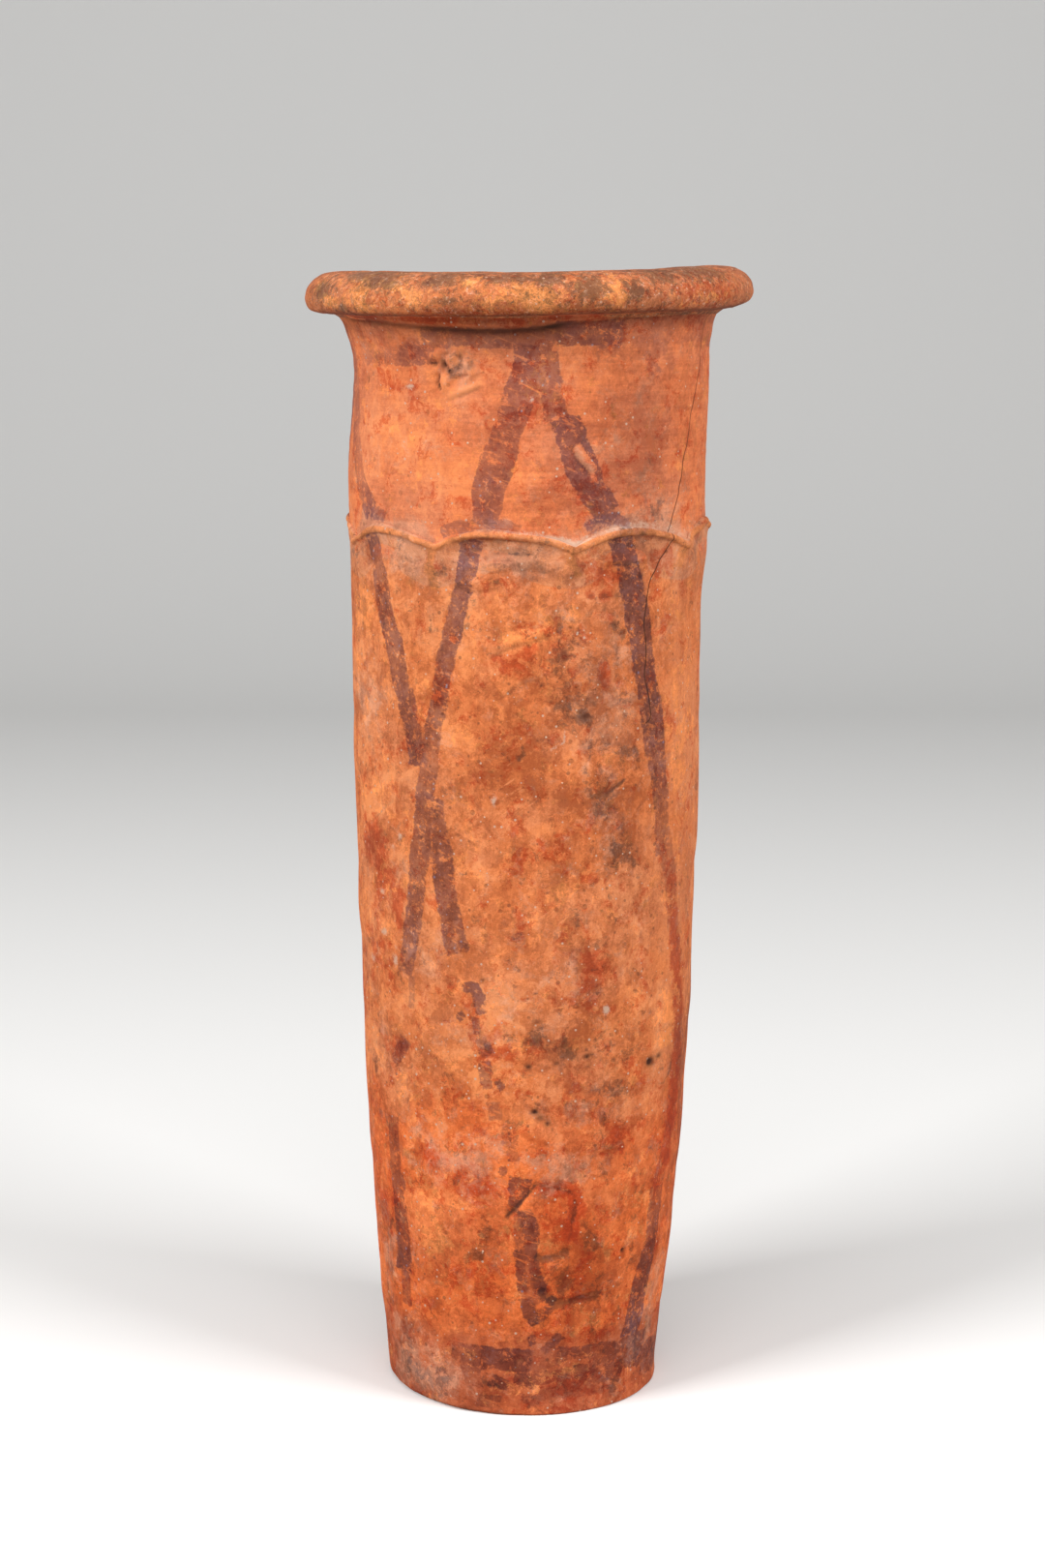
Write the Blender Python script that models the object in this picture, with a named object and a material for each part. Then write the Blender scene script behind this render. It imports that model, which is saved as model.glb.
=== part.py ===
"""Tall hand-built earthenware jar: a foot pad, coiled wall, turned collar, wavy band and rolled rim.

The clay members are modelled as the potter joined them. Every ring of the wall stands on the one
below in a bevelled joint with a film of slip, the band is pressed on over the joint between wall
and collar, and the rim roll is seated on the flared collar. The jar stands on z = 0 and its mouth
faces +Z. Angles are measured from the front (-Y) towards +X.
"""

import math

import bmesh
import bpy

MM = 0.001

# Heights, from the foot up
BODY_HEIGHT = 206.0 * MM  # foot to the inner edge of the joint under the collar
COLLAR_HEIGHT = 64.0 * MM  # that joint to the underside of the rim
RIM_THICKNESS = 10.0 * MM
FLOOR_THICKNESS = 10.0 * MM

# Outer radii of the wall, and the heights at which it has them
FOOT_RADIUS = 34.0 * MM
SHIN_RADIUS = 39.8 * MM
SHIN_HEIGHT = 64.0 * MM
BELLY_RADIUS = 42.6 * MM
BELLY_HEIGHT = 145.0 * MM
JOIN_RADIUS = 43.3 * MM
SWELL_RADIUS = 43.8 * MM
SWELL_ABOVE_JOIN = 25.0 * MM
THROAT_RADIUS = 43.5 * MM
THROAT_BELOW_RIM = 11.0 * MM
FLARE_RADIUS = 47.5 * MM

# Wall and joints
WALL = 7.0 * MM
COIL_COUNT = 5
COIL_SWELL = 0.8 * MM  # how far the middle of a coil bulges into the jar
BEVEL_RISE = 7.0 * MM  # a joint's outer edge is this much higher than its inner edge
SLIP_FILM = 0.3 * MM  # gap that the slip fills in every joint
FOOT_ROUND = 2.0 * MM

# Rim roll
RIM_OVERHANG = 6.9 * MM  # how far the nose stands out past the flare
LIP_FLARE = 1.6 * MM  # how much wider the mouth is under the lip than at the rim's joint
NOSE_TOP_SHARE = 0.475  # of the roll's width, rounded down towards the nose
LIP_SHARE = 0.19  # of the roll's width, rounded down into the mouth
NOSE_UNDER_SHARE = 0.32  # of the overhang, rounded in under the nose
NOSE_TOP_DROP = 0.55 * RIM_THICKNESS
LIP_DROP = 0.4 * RIM_THICKNESS
RIM_UNDERCUT = 0.12 * RIM_THICKNESS  # how far the underside climbs from the collar to the nose

# Wavy band
SCALLOP_COUNT = 8
FIRST_VALLEY = math.radians(14.5)
BAND_FOOT_BELOW_JOIN = 1.0 * MM
VALLEY_ABOVE_JOIN = 11.0 * MM
SCALLOP_RISE = 4.2 * MM
RIDGE_PROUD = 1.5 * MM
RIDGE_DEPTH = 2.4 * MM  # height of the rounded ridge
CREST_SHARE = 0.8  # of the ridge's thickness, left at its crest
BAND_EDGE = 0.5 * MM  # thickness where the band is smeared out on the wall
PRESS_DEPTH = 0.7 * MM  # how much lower the thumb marks lie than the pleats between them

# Hand-formed irregularity
FOOT_DRIFT = -1.8 * MM  # the foot stands this far to the left of the mouth
LEAN_HEIGHT = 130.0 * MM  # the lean of the foot has faded out here
BODY_DRIFT = -0.55 * MM
THROAT_DRIFT = 0.9 * MM
RIM_TILT = 1.0 * MM  # rise of the rim's right edge
RIM_SAG = 0.5 * MM  # the rim dips this far at the front and back, and rises at the sides

# Facets
COLUMNS = 64
BAND_COLUMNS = 16 * SCALLOP_COUNT
COIL_OUTSIDE_ROWS = 2
COIL_INSIDE_ROWS = 4
COLLAR_OUTSIDE_ROWS = 9
COLLAR_INSIDE_ROWS = 4
ARC_STEPS = 4
CREASE = math.radians(35)  # edges sharper than this are shaded as edges

# Colour, roughness
BUFF_CLAY = ((0.50, 0.17, 0.065), 0.85)
TURNED_CLAY = ((0.52, 0.17, 0.075), 0.80)
BAND_CLAY = ((0.48, 0.20, 0.085), 0.88)
RIM_CLAY = ((0.42, 0.15, 0.060), 0.88)
FOOT_CLAY = ((0.36, 0.10, 0.045), 0.88)

# Places that follow from the sizes above
RIM_SEAT = BODY_HEIGHT + COLLAR_HEIGHT
TOP = RIM_SEAT + RIM_THICKNESS
COIL_PITCH = (BODY_HEIGHT - FLOOR_THICKNESS) / COIL_COUNT
THROAT_HEIGHT = RIM_SEAT - THROAT_BELOW_RIM
RIM_RADIUS = FLARE_RADIUS + RIM_OVERHANG
WELD = SLIP_FILM / 30  # vertices nearer than this are one


def smooth_curve(stations):
    """Returns the function of height that runs smoothly through (height, value) stations.

    It is level at a station where it turns, and its first and last stretches are parabolas.
    """
    heights = [height for height, _ in stations]
    values = [value for _, value in stations]
    last = len(stations) - 1
    steps = [heights[i + 1] - heights[i] for i in range(last)]
    slopes = [(values[i + 1] - values[i]) / steps[i] for i in range(last)]
    inner = [0.0] * (last - 1)
    for i in range(1, last):
        if slopes[i - 1] * slopes[i] > 0:
            span = steps[i - 1] + steps[i]
            inner[i - 1] = (slopes[i - 1] * steps[i] + slopes[i] * steps[i - 1]) / span
    tangents = [2 * slopes[0] - inner[0], *inner, 2 * slopes[-1] - inner[-1]]

    def value_at(height):
        i = max(0, min(last - 1, sum(height >= h for h in heights) - 1))
        t = min(1.0, max(0.0, (height - heights[i]) / steps[i]))
        start = (1 + 2 * t) * (1 - t) ** 2 * values[i] + t * (1 - t) ** 2 * steps[i] * tangents[i]
        end = t * t * (3 - 2 * t) * values[i + 1] - t * t * (1 - t) * steps[i] * tangents[i + 1]
        return start + end

    return value_at


outer_radius = smooth_curve(
    (
        (0.0, FOOT_RADIUS),
        (SHIN_HEIGHT, SHIN_RADIUS),
        (BELLY_HEIGHT, BELLY_RADIUS),
        (BODY_HEIGHT, JOIN_RADIUS),
        (BODY_HEIGHT + SWELL_ABOVE_JOIN, SWELL_RADIUS),
        (THROAT_HEIGHT, THROAT_RADIUS),
        (RIM_SEAT, FLARE_RADIUS),
    )
)

centre_drift = smooth_curve(
    (
        (0.0, FOOT_DRIFT),
        (LEAN_HEIGHT, BODY_DRIFT),
        (BODY_HEIGHT + SWELL_ABOVE_JOIN, BODY_DRIFT),
        (THROAT_HEIGHT, THROAT_DRIFT),
        (RIM_SEAT, 0.0),
        (TOP, 0.0),
    )
)


def inner_radius(height):
    """Radius of the inside: the wall's thickness in from the outside, less the swell of a coil."""
    swell = 0.0
    if FLOOR_THICKNESS < height < BODY_HEIGHT:
        swell = COIL_SWELL * math.sin(math.pi * (height - FLOOR_THICKNESS) / COIL_PITCH) ** 2
    return outer_radius(height) - WALL - swell


def hand_formed(vert):
    """Moves a vertex of the true turned shape to where the potter's hand left it."""
    across = vert.co.x / RIM_RADIUS
    along = vert.co.y / RIM_RADIUS
    height = vert.co.z
    collar_share = max(0.0, (height - BODY_HEIGHT) / (TOP - BODY_HEIGHT)) ** 2
    vert.co.x += centre_drift(height)
    vert.co.z += collar_share * (RIM_TILT * across + RIM_SAG * (across**2 - along**2))


def arc(centre, reach, start, end):
    """Points of an elliptical arc in (radius, height), angles in degrees, both ends included."""
    points = []
    for step in range(ARC_STEPS + 1):
        angle = math.radians(start + (end - start) * step / ARC_STEPS)
        points.append((centre[0] + reach[0] * math.cos(angle), centre[1] + reach[1] * math.sin(angle)))
    return points


def spread(low, high, count):
    """Returns count + 1 evenly spaced heights from low to high."""
    return [low + (high - low) * i / count for i in range(count + 1)]


def film_rise():
    """How far a joint's upper face is lifted so that the slip film is SLIP_FILM thick across it."""
    return SLIP_FILM * math.hypot(WALL, BEVEL_RISE) / WALL


def clay(name, look):
    """A plain fired-clay material."""
    colour, roughness = look
    material = bpy.data.materials.new(name)
    material.use_nodes = True
    shader = material.node_tree.nodes["Principled BSDF"]
    shader.inputs["Base Color"].default_value = (*colour, 1.0)
    shader.inputs["Roughness"].default_value = roughness
    shader.inputs["Metallic"].default_value = 0.0
    return material


def finish(name, mesh, seat_height, look, jar):
    """Shapes the mesh by hand, shades it and places its object on the seat that carries it."""
    bmesh.ops.recalc_face_normals(mesh, faces=mesh.faces)
    for vert in mesh.verts:
        hand_formed(vert)
        vert.co.z -= seat_height
    data = bpy.data.meshes.new(name)
    mesh.to_mesh(data)
    mesh.free()
    data.shade_smooth()
    data.set_sharp_from_angle(angle=CREASE)
    data.materials.append(clay(name, look))
    piece = bpy.data.objects.new(name, data)
    piece.location.z = seat_height
    piece.parent = jar
    bpy.context.scene.collection.objects.link(piece)
    return piece


def turned(profile, closed=True):
    """Spins a (radius, height) profile about the jar's axis. An open one starts and ends on the axis."""
    mesh = bmesh.new()
    verts = [mesh.verts.new((0.0, -radius, height)) for radius, height in profile]
    edges = [mesh.edges.new(pair) for pair in zip(verts, verts[1:])]
    if closed:
        edges.append(mesh.edges.new((verts[-1], verts[0])))
    bmesh.ops.spin(
        mesh,
        geom=verts + edges,
        cent=(0.0, 0.0, 0.0),
        axis=(0.0, 0.0, 1.0),
        dvec=(0.0, 0.0, 0.0),
        angle=2 * math.pi,
        steps=COLUMNS,
        use_merge=True,
    )
    bmesh.ops.remove_doubles(mesh, verts=mesh.verts, dist=WELD)
    return mesh


def base_pad(jar):
    """The flat pad of clay that the jar stands on, pinched up at its edge to take the first coil."""
    edge_top = FLOOR_THICKNESS + BEVEL_RISE
    round_radius = outer_radius(FOOT_ROUND)
    foot_edge = arc((round_radius - FOOT_ROUND, FOOT_ROUND), (FOOT_ROUND, FOOT_ROUND), -90, 0)
    profile = [(0.0, 0.0), *foot_edge, (outer_radius(edge_top), edge_top)]
    profile += [(inner_radius(FLOOR_THICKNESS), FLOOR_THICKNESS), (0.0, FLOOR_THICKNESS)]
    return finish("base_pad", turned(profile, closed=False), 0.0, FOOT_CLAY, jar)


def wall_coil(number, jar):
    """One flattened coil of the wall, bevelled top and bottom, swelling a little into the jar."""
    seat = FLOOR_THICKNESS + (number - 1) * COIL_PITCH
    low = seat + film_rise()
    high = seat + COIL_PITCH
    outside = spread(low + BEVEL_RISE, high + BEVEL_RISE, COIL_OUTSIDE_ROWS)
    inside = spread(high, low, COIL_INSIDE_ROWS)
    profile = [(outer_radius(z), z) for z in outside] + [(inner_radius(z), z) for z in inside]
    return finish(f"wall_coil_{number}", turned(profile), seat, BUFF_CLAY, jar)


def collar(jar):
    """The smooth turned neck above the coils, flaring out at the top to carry the rim."""
    low = BODY_HEIGHT + film_rise()
    outside = spread(low + BEVEL_RISE, RIM_SEAT, COLLAR_OUTSIDE_ROWS)
    inside = spread(RIM_SEAT - BEVEL_RISE, low, COLLAR_INSIDE_ROWS)
    profile = [(outer_radius(z), z) for z in outside] + [(inner_radius(z), z) for z in inside]
    return finish("collar", turned(profile), BODY_HEIGHT, TURNED_CLAY, jar)


def rim_roll(jar):
    """The thick rolled lip: a round nose outside, a soft lip inside, bevelled on to the collar."""
    seat = RIM_SEAT - BEVEL_RISE
    low = seat + film_rise()
    underside = RIM_SEAT + film_rise()
    mouth = inner_radius(seat)
    width = RIM_RADIUS - mouth - LIP_FLARE
    top_reach = NOSE_TOP_SHARE * width
    under_reach = NOSE_UNDER_SHARE * RIM_OVERHANG
    lip_reach = LIP_SHARE * width
    nose_height = TOP - NOSE_TOP_DROP
    under_drop = nose_height - underside - RIM_UNDERCUT
    profile = [(outer_radius(RIM_SEAT), underside)]
    profile += arc((RIM_RADIUS - under_reach, nose_height), (under_reach, under_drop), -90, 0)
    profile += arc((RIM_RADIUS - top_reach, nose_height), (top_reach, NOSE_TOP_DROP), 0, 90)[1:]
    profile += arc((mouth + LIP_FLARE + lip_reach, TOP - LIP_DROP), (lip_reach, LIP_DROP), 90, 180)
    profile.append((mouth, low))
    return finish("rim_roll", turned(profile), seat, RIM_CLAY, jar)


def arcade(angle):
    """Height share of the wavy ridge: 0 in a pointed valley, 1 on the crown of an arch."""
    return abs(math.sin(SCALLOP_COUNT * (angle - FIRST_VALLEY) / 2))


def band_section(angle):
    """(radius, height) points round the band's cross-section at an angle, from its foot up and back."""
    foot = BODY_HEIGHT - BAND_FOOT_BELOW_JOIN
    arch = arcade(angle)
    crest = BODY_HEIGHT + VALLEY_ABOVE_JOIN + SCALLOP_RISE * arch
    under_ridge = crest - RIDGE_DEPTH
    hollow = RIDGE_PROUD - PRESS_DEPTH * arch
    middle = (foot + under_ridge) / 2
    proud = (
        (foot, BAND_EDGE),
        (middle, (BAND_EDGE + hollow) / 2),
        (under_ridge, hollow),
        (crest - RIDGE_DEPTH / 2, RIDGE_PROUD),
        (crest, RIDGE_PROUD * CREST_SHARE),
        (crest + RIDGE_DEPTH / 4, BAND_EDGE),
    )
    outside = [(outer_radius(z) + SLIP_FILM + thickness, z) for z, thickness in proud]
    inside = [(outer_radius(z) + SLIP_FILM, z) for z in (proud[-1][0], under_ridge, middle, foot)]
    return outside + inside


def wavy_band(jar):
    """The applied band of clay, thumbed upwards into an arcade of scallops with pleats between."""
    mesh = bmesh.new()
    rings = []
    for column in range(BAND_COLUMNS):
        angle = FIRST_VALLEY + 2 * math.pi * column / BAND_COLUMNS
        section = band_section(angle)
        rings.append([mesh.verts.new((r * math.sin(angle), -r * math.cos(angle), z)) for r, z in section])
    for ring, following in zip(rings, rings[1:] + rings[:1]):
        for i, vert in enumerate(ring):
            mesh.faces.new((vert, following[i], following[i - 1], ring[i - 1]))
    return finish("wavy_band", mesh, BODY_HEIGHT, BAND_CLAY, jar)


def clear_scene():
    """Removes whatever the scene holds."""
    for old in list(bpy.data.objects):
        bpy.data.objects.remove(old, do_unlink=True)


def main():
    """Builds the jar from the foot up."""
    clear_scene()
    jar = bpy.data.objects.new("jar", None)
    bpy.context.scene.collection.objects.link(jar)
    base_pad(jar)
    for number in range(1, COIL_COUNT + 1):
        wall_coil(number, jar)
    collar(jar)
    wavy_band(jar)
    rim_roll(jar)


main()
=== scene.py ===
"""The look of a tall hand-built clay jar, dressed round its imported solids.

Each clay member of the jar gets a finely modelled piece that stands for its solid. The wall's profile,
its lean and the tilt of the rim are read from the solids, so the pieces follow them. The pieces meet
on shared rows of vertices with shared normals, as the potter smoothed the joints away. Angles are
measured from the front (-Y) towards +X, and the jar stands on z = 0.
"""

import logging
import math
from collections.abc import Sequence
from dataclasses import dataclass, field
from enum import Enum
from typing import NamedTuple

import bpy
import numpy as np
from bpy.types import ID, Material, Mesh, Node, NodeTree, Object
from bpy.types import NodeSocket as Socket
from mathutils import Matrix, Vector


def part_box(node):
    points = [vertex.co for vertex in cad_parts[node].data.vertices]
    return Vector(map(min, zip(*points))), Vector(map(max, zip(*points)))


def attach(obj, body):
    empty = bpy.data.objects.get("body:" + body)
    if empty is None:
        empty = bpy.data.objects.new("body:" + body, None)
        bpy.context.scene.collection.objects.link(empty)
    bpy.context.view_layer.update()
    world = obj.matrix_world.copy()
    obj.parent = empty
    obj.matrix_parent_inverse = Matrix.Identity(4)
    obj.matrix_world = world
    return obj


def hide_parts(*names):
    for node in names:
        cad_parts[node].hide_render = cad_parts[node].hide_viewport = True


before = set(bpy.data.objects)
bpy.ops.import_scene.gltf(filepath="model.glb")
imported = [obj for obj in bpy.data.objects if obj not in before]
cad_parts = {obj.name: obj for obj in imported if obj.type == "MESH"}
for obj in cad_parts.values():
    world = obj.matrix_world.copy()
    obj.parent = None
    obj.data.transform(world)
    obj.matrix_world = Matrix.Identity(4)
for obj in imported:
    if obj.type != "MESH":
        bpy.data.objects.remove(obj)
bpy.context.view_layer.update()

logging.basicConfig(level=logging.INFO, format="%(message)s")
LOG = logging.getLogger("jar")

MM = 0.001
BODY = "root"
COIL_NODES = tuple(f"wall_coil_{number}" for number in range(1, 6))
WALL_NODES = ("base_pad", *COIL_NODES, "collar")
Colour = tuple[float, float, float]
Array = np.ndarray
Path = tuple[tuple[float, float], ...]
Section = list[tuple]
Value = float | Sequence[float] | Socket

FLOAT = "NodeSocketFloat"
INTEGER = "NodeSocketInt"
COLOUR = "NodeSocketColor"
VECTOR = "NodeSocketVector"
GEOMETRY = "NodeSocketGeometry"
MATERIAL = "NodeSocketMaterial"
SHADING = "ShaderNodeTree"
MOTTLE_COLOURS = (
    "burnt", "clay", "pale", "foot_tint", "base_tint", "ochre", "rust", "soil", "dust", "chalk",
)
MOTTLE_AMOUNTS = ("patchiness", "graininess", "fineness", "soiling", "specks")

# Values of a piece's attributes: mm into a stroke where there is no paint, mm from the crack where
# it is out of reach, and the least that counts as the skin of the clay
NO_PAINT = -6.0
NO_CRACK = 6.0
ON_SKIN = 0.5

# A square of a length, in square metres, that counts as none
NO_LENGTH = 1e-18


class Skin(Enum):
    """Which face of the clay a row of a section lies on."""

    INSIDE = -1.0
    JOINT = 0.0
    OUTSIDE = 1.0


class Mark(Enum):
    """A kind of stain on the clay, some of which also carry painted shade. The value is the name of its
    vertex attribute.
    """

    SOIL = "soil"
    # Rust stains, and also painted shade in the hollow under the rim's nose
    RUST_AND_SHADE = "rust"
    OCHRE = "ochre"
    CHALK = "chalk"
    # Soot and dark marks, and also painted shade: under the fold and the rim, in grooves, in the scar and
    # under the ridge's lip
    SOOT_AND_SHADE = "soot"
    PALE = "pale"
    # Burnt patches of the firing, and also painted shade in the hollow under the rim's nose and on the roll's
    # underside
    BURNT_AND_SHADE = "burnt"
    DUST = "dust"
    CALM = "calm"


class Spot(NamedTuple):
    """A soft round spot: angle in degrees, then height, half width and half height in mm, and strength."""

    angle: float
    height: float
    across: float
    along: float
    strength: float


class Line(NamedTuple):
    """A line of (degrees, mm) points: half width in mm, and depth in mm or strength as a stain."""

    path: Path
    width: float
    strength: float


@dataclass(frozen=True)
class Stroke:
    """A brush stroke: its middle line, and its width in mm and its cover at even steps along it."""

    path: Path
    width: tuple[float, ...]
    cover: tuple[float, ...]


# The painted net. A path's points are angles in degrees and heights in mm.
NET = (
    Stroke(
        ((-1, 263), (-2.3, 258), (-4.8, 250), (-7.9, 240), (-10.4, 234), (-12.3, 228), (-13, 223)),
        (4.6, 5.6, 6.6, 7.2, 6.8, 5.2), (0.9, 0.8, 0.74, 0.76, 0.84, 0.76),
    ),
    Stroke(((2.6, 262.6), (2.5, 256), (2.2, 250.6)), (5, 4.4, 2), (0.56, 0.42, 0.32)),
    Stroke(
        ((-16.7, 219), (-20.7, 205), (-26, 190), (-30.2, 175), (-32.6, 164), (-34.5, 156)),
        (4.4, 3.8, 3.6, 3.8, 4.4), (0.92, 0.9, 0.86, 0.84, 0.56, 0.76),
    ),
    Stroke(((-34.5, 157), (-36.5, 145), (-40.5, 125), (-44.8, 112.6)), (5.2, 4.8, 4.2), (0.84, 0.82, 0.84)),
    Stroke(((5.5, 262), (5.9, 252), (7.6, 247)), (3.4, 4.2, 4.4), (0.8, 0.7, 0.6)),
    Stroke(
        ((11.2, 246.2), (11.6, 244.6), (14, 240), (17, 235), (20.7, 230), (25, 225)),
        (6.4, 6.6, 7, 6.6, 6), (0.92, 0.96, 0.9, 0.88, 0.9),
    ),
    Stroke(
        ((30, 219), (35.5, 205), (39.8, 190), (44.2, 174), (46.8, 164), (49.5, 154), (49.5, 142)),
        (5.8, 6, 6.2, 6.4, 5.2, 3.6), (1.15, 1.1, 1.05, 0.92, 0.78, 0.6),
    ),
    Stroke(
        ((50, 147), (54, 138), (57.5, 128), (61, 117), (63, 106), (64.8, 94), (65, 82), (63, 68), (59, 56)),
        (4.4, 4.8, 4.4, 4.4, 4.6), (0.5, 0.36, 0.3, 0.26, 0.44),
    ),
    Stroke(((-80, 262), (-72, 244), (-67, 233), (-63, 228), (-58, 224)), (5, 5, 6), (0.45, 0.5, 0.9)),
    Stroke(
        ((-57.5, 219), (-53.7, 210), (-50, 200), (-45.3, 190), (-42, 180), (-38.4, 170), (-37.6, 164.6)),
        (4.4, 4.8, 5, 4.2), (0.86, 0.82, 0.86, 0.92),
    ),
    Stroke(
        ((-29.6, 156), (-29, 147), (-28, 139), (-25.5, 129), (-23, 119.6)),
        (2.8, 4.2, 5.2, 5), (0.76, 0.86, 0.86, 0.8),
    ),
    Stroke(
        ((-21.4, 110.6), (-17, 110.8), (-15.6, 108.8), (-15, 104.8)),
        (1.8, 2.2, 2.4, 1.4), (0.96, 0.98, 0.96),
    ),
    Stroke(((-22.4, 104), (-21.4, 103)), (1.4, 1.4), (0.96, 0.9)),
    Stroke(((-16.6, 103.6), (-16.4, 99.8)), (1, 1.4), (0.86, 0.8)),
    Stroke(((-15.2, 98.4), (-13, 94.6)), (2.2, 3), (0.7, 0.74)),
    Stroke(((-14.2, 92.5), (-13.2, 86.2)), (2.4, 3, 1.6), (0.82, 0.76, 0.7)),
    Stroke(((-9.8, 86.9), (-8.2, 87.5)), (2, 1.8), (0.9, 0.86)),
    Stroke(((-11.2, 82), (-10.4, 78.2)), (1.6, 1.8), (0.54, 0.5)),
    Stroke(((-6.8, 76.4), (-6.2, 72.6)), (1.8, 2), (0.6, 0.56)),
    Stroke(((-4.4, 73.8), (-3.6, 68.2)), (1.8, 2.4), (0.56, 0.52)),
    Stroke(((-8.2, 66), (-7.8, 64.2)), (1.2, 1.2), (0.7, 0.66)),
    Stroke(((-1.4, 63), (-2.2, 60), (-3.6, 56.2)), (4.4, 4.2, 1.8), (1, 1.06, 0.96)),
    Stroke(
        ((-0.8, 55), (0, 48.8), (1.2, 42.3), (2.8, 35.8), (4.4, 29.8)),
        (3.2, 4.8, 5, 4.8, 4.2), (0.56, 0.5, 0.46, 0.56),
    ),
    Stroke(((0.6, 54.2), (2.2, 50.5), (3.2, 46.8)), (2.4, 2.8, 2.2), (1.06, 1.1, 1.06)),
    Stroke(((2.6, 45.7), (2.8, 43.1)), (2, 1.8), (1, 1.04)),
    Stroke(((-2.8, 44), (-2, 39), (-0.9, 34.2)), (0.9, 1.2, 1), (1.04, 1.06, 1)),
    Stroke(((4, 41.6), (5.2, 37.5), (6.6, 33.6)), (1.5, 1.9, 1.6), (0.94, 1.04, 1)),
    Stroke(((1.2, 30.8), (3, 27.5), (4.8, 24.9)), (1.8, 3, 1.6), (1.04, 1.1, 1)),
    Stroke(((11.4, 31.6), (8.6, 28.8), (5.6, 26.2)), (1.4, 2.4, 2.2), (0.96, 1.04, 1.04)),
    Stroke(((-41, 112), (-42, 104)), (1, 1.4), (0.4, 0.55)),
    Stroke(((-46, 95), (-49, 91.5), (-52, 89)), (3.6, 2.6), (0.7, 0.66)),
    Stroke(((-54.5, 74), (-54, 62), (-53, 50), (-53, 40), (-53.5, 34)), (3.6, 4.8, 5.2), (0.6, 0.88, 1)),
    Stroke(((-52.4, 33), (-52, 25)), (2.6, 3), (0.7, 0.74)),
    Stroke(((58, 55), (56.8, 45), (54.4, 37), (51, 27), (48.5, 17)), (5.4, 6), (0.74, 0.9, 1.15, 1.1)),
    Stroke(((-80, 262), (-92, 220), (-108, 160), (-122, 110), (-131, 60)), (6.4, 5), (0.76, 0.5)),
    Stroke(((146, 262), (128, 215), (112, 170), (93, 120), (75, 82)), (7, 4.6), (0.8, 0.5)),
    Stroke(((146, 262), (166, 215), (186, 160), (205, 100), (222, 40)), (7, 5), (0.82, 0.6)),
    Stroke(((64.5, 98), (84, 55), (96, 20)), (4.6, 5.6), (0.4, 0.66)),
)

# The painted bands under the rim and above the foot, and the paint that pooled over the ridge
BANDS = (
    Stroke(((-78, 263.2), (-45, 263.6), (-36, 263.8)), (8.6, 8), (0.22, 0.08)),
    Stroke(((-57, 259.8), (-44, 259.9), (-33.5, 260.6)), (2, 2.8), (0.66, 0.74)),
    Stroke(((-47, 260.4), (-40, 260.9), (-31, 261.1)), (2.6, 3.6, 3.4), (0.66, 0.72)),
    Stroke(((-66, 266.4), (-63.5, 262.6), (-61, 259.4)), (3.4, 4.4), (0.4, 0.42)),
    Stroke(((-34, 265.5), (-20, 265.4), (-8, 265.1), (4, 265), (13, 266)), (3.6, 4.2), (0.68, 0.74)),
    Stroke(((8, 265.6), (20, 265.9), (27, 265.8)), (4.8, 5.2), (0.94, 0.84)),
    Stroke(((24, 265.8), (45, 266), (72, 266.2)), (5.4, 5.4), (0.4, 0.36)),
    Stroke(((20, 261.2), (36, 261.4), (46, 262)), (3.6, 3), (0.34, 0.3)),
    Stroke(((38, 258.4), (43.4, 256)), (2.6, 1.6), (0.34, 0.44)),
    Stroke(((72, 265), (150, 264), (215, 264.5), (282, 263)), (6, 9), (0.55, 0.7)),
    Stroke(((-29, 16.6), (-17, 15)), (3.6, 6.4), (0.62, 0.8)),
    Stroke(((-16, 15.4), (-6, 15.2), (2, 15)), (5.4, 5), (1.1, 1)),
    Stroke(((2, 15), (15, 15.6)), (4.4, 3.8), (0.42, 0.4)),
    Stroke(((15, 16.2), (28, 16.2)), (2.8, 2.8), (0.86, 0.8)),
    Stroke(((28, 15), (43, 13), (60, 11.5)), (4.6, 9), (0.66, 0.84)),
    Stroke(((60, 8), (80, 7.6)), (8, 9), (0.8, 0.8)),
    Stroke(((5, 10.6), (20, 10.2), (34, 8.6)), (2.6, 4), (0.5, 0.56)),
    Stroke(((8, 5.6), (24, 6.4), (36, 6)), (3, 3.6), (0.36, 0.4)),
    Stroke(((-22, 13), (-20, 7)), (4.4, 3.4), (0.46, 0.4)),
    Stroke(((-18, 3.6), (-10, 3.4)), (2.4, 2.2), (0.6, 0.6)),
    Stroke(((-13, 9.4), (-7, 8.2)), (2.8, 2.2), (0.84, 0.8)),
    Stroke(((-3, 10.4), (4, 9.4)), (2.2, 2.8), (0.8, 0.84)),
    Stroke(((21, 11.6), (30, 9.8)), (2.8, 2.4), (0.86, 0.8)),
    Stroke(((36, 9.6), (45, 7.4)), (3.6, 3), (0.84, 0.76)),
    Stroke(((0, 5), (7, 3.8)), (1.8, 2.2), (0.66, 0.7)),
    Stroke(((80, 8), (160, 12), (225, 12.5), (282, 12)), (9, 7), (0.8, 0.45)),
    Stroke(((-26.4, 220), (-20, 221.7), (-13, 222.8), (-7, 222.1), (-2.4, 220.9)), (2, 1.8), (0.66, 0.62)),
    Stroke(((18.6, 220.8), (23, 222.7), (28, 223.2), (33.6, 221.9)), (2.2, 2.4), (1, 0.98)),
    Stroke(((-58, 223.4), (-54, 223.4), (-50, 222.4)), (3, 2), (0.76, 0.7)),
    Stroke(((14.6, 21.2), (12, 19.2), (8.6, 17.6)), (1.6, 1.4, 1), (0.8, 0.84, 0.76)),
    Stroke(((3.2, 21.4), (3.8, 19.4)), (0.8, 1), (0.8, 0.8)),
)
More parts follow.
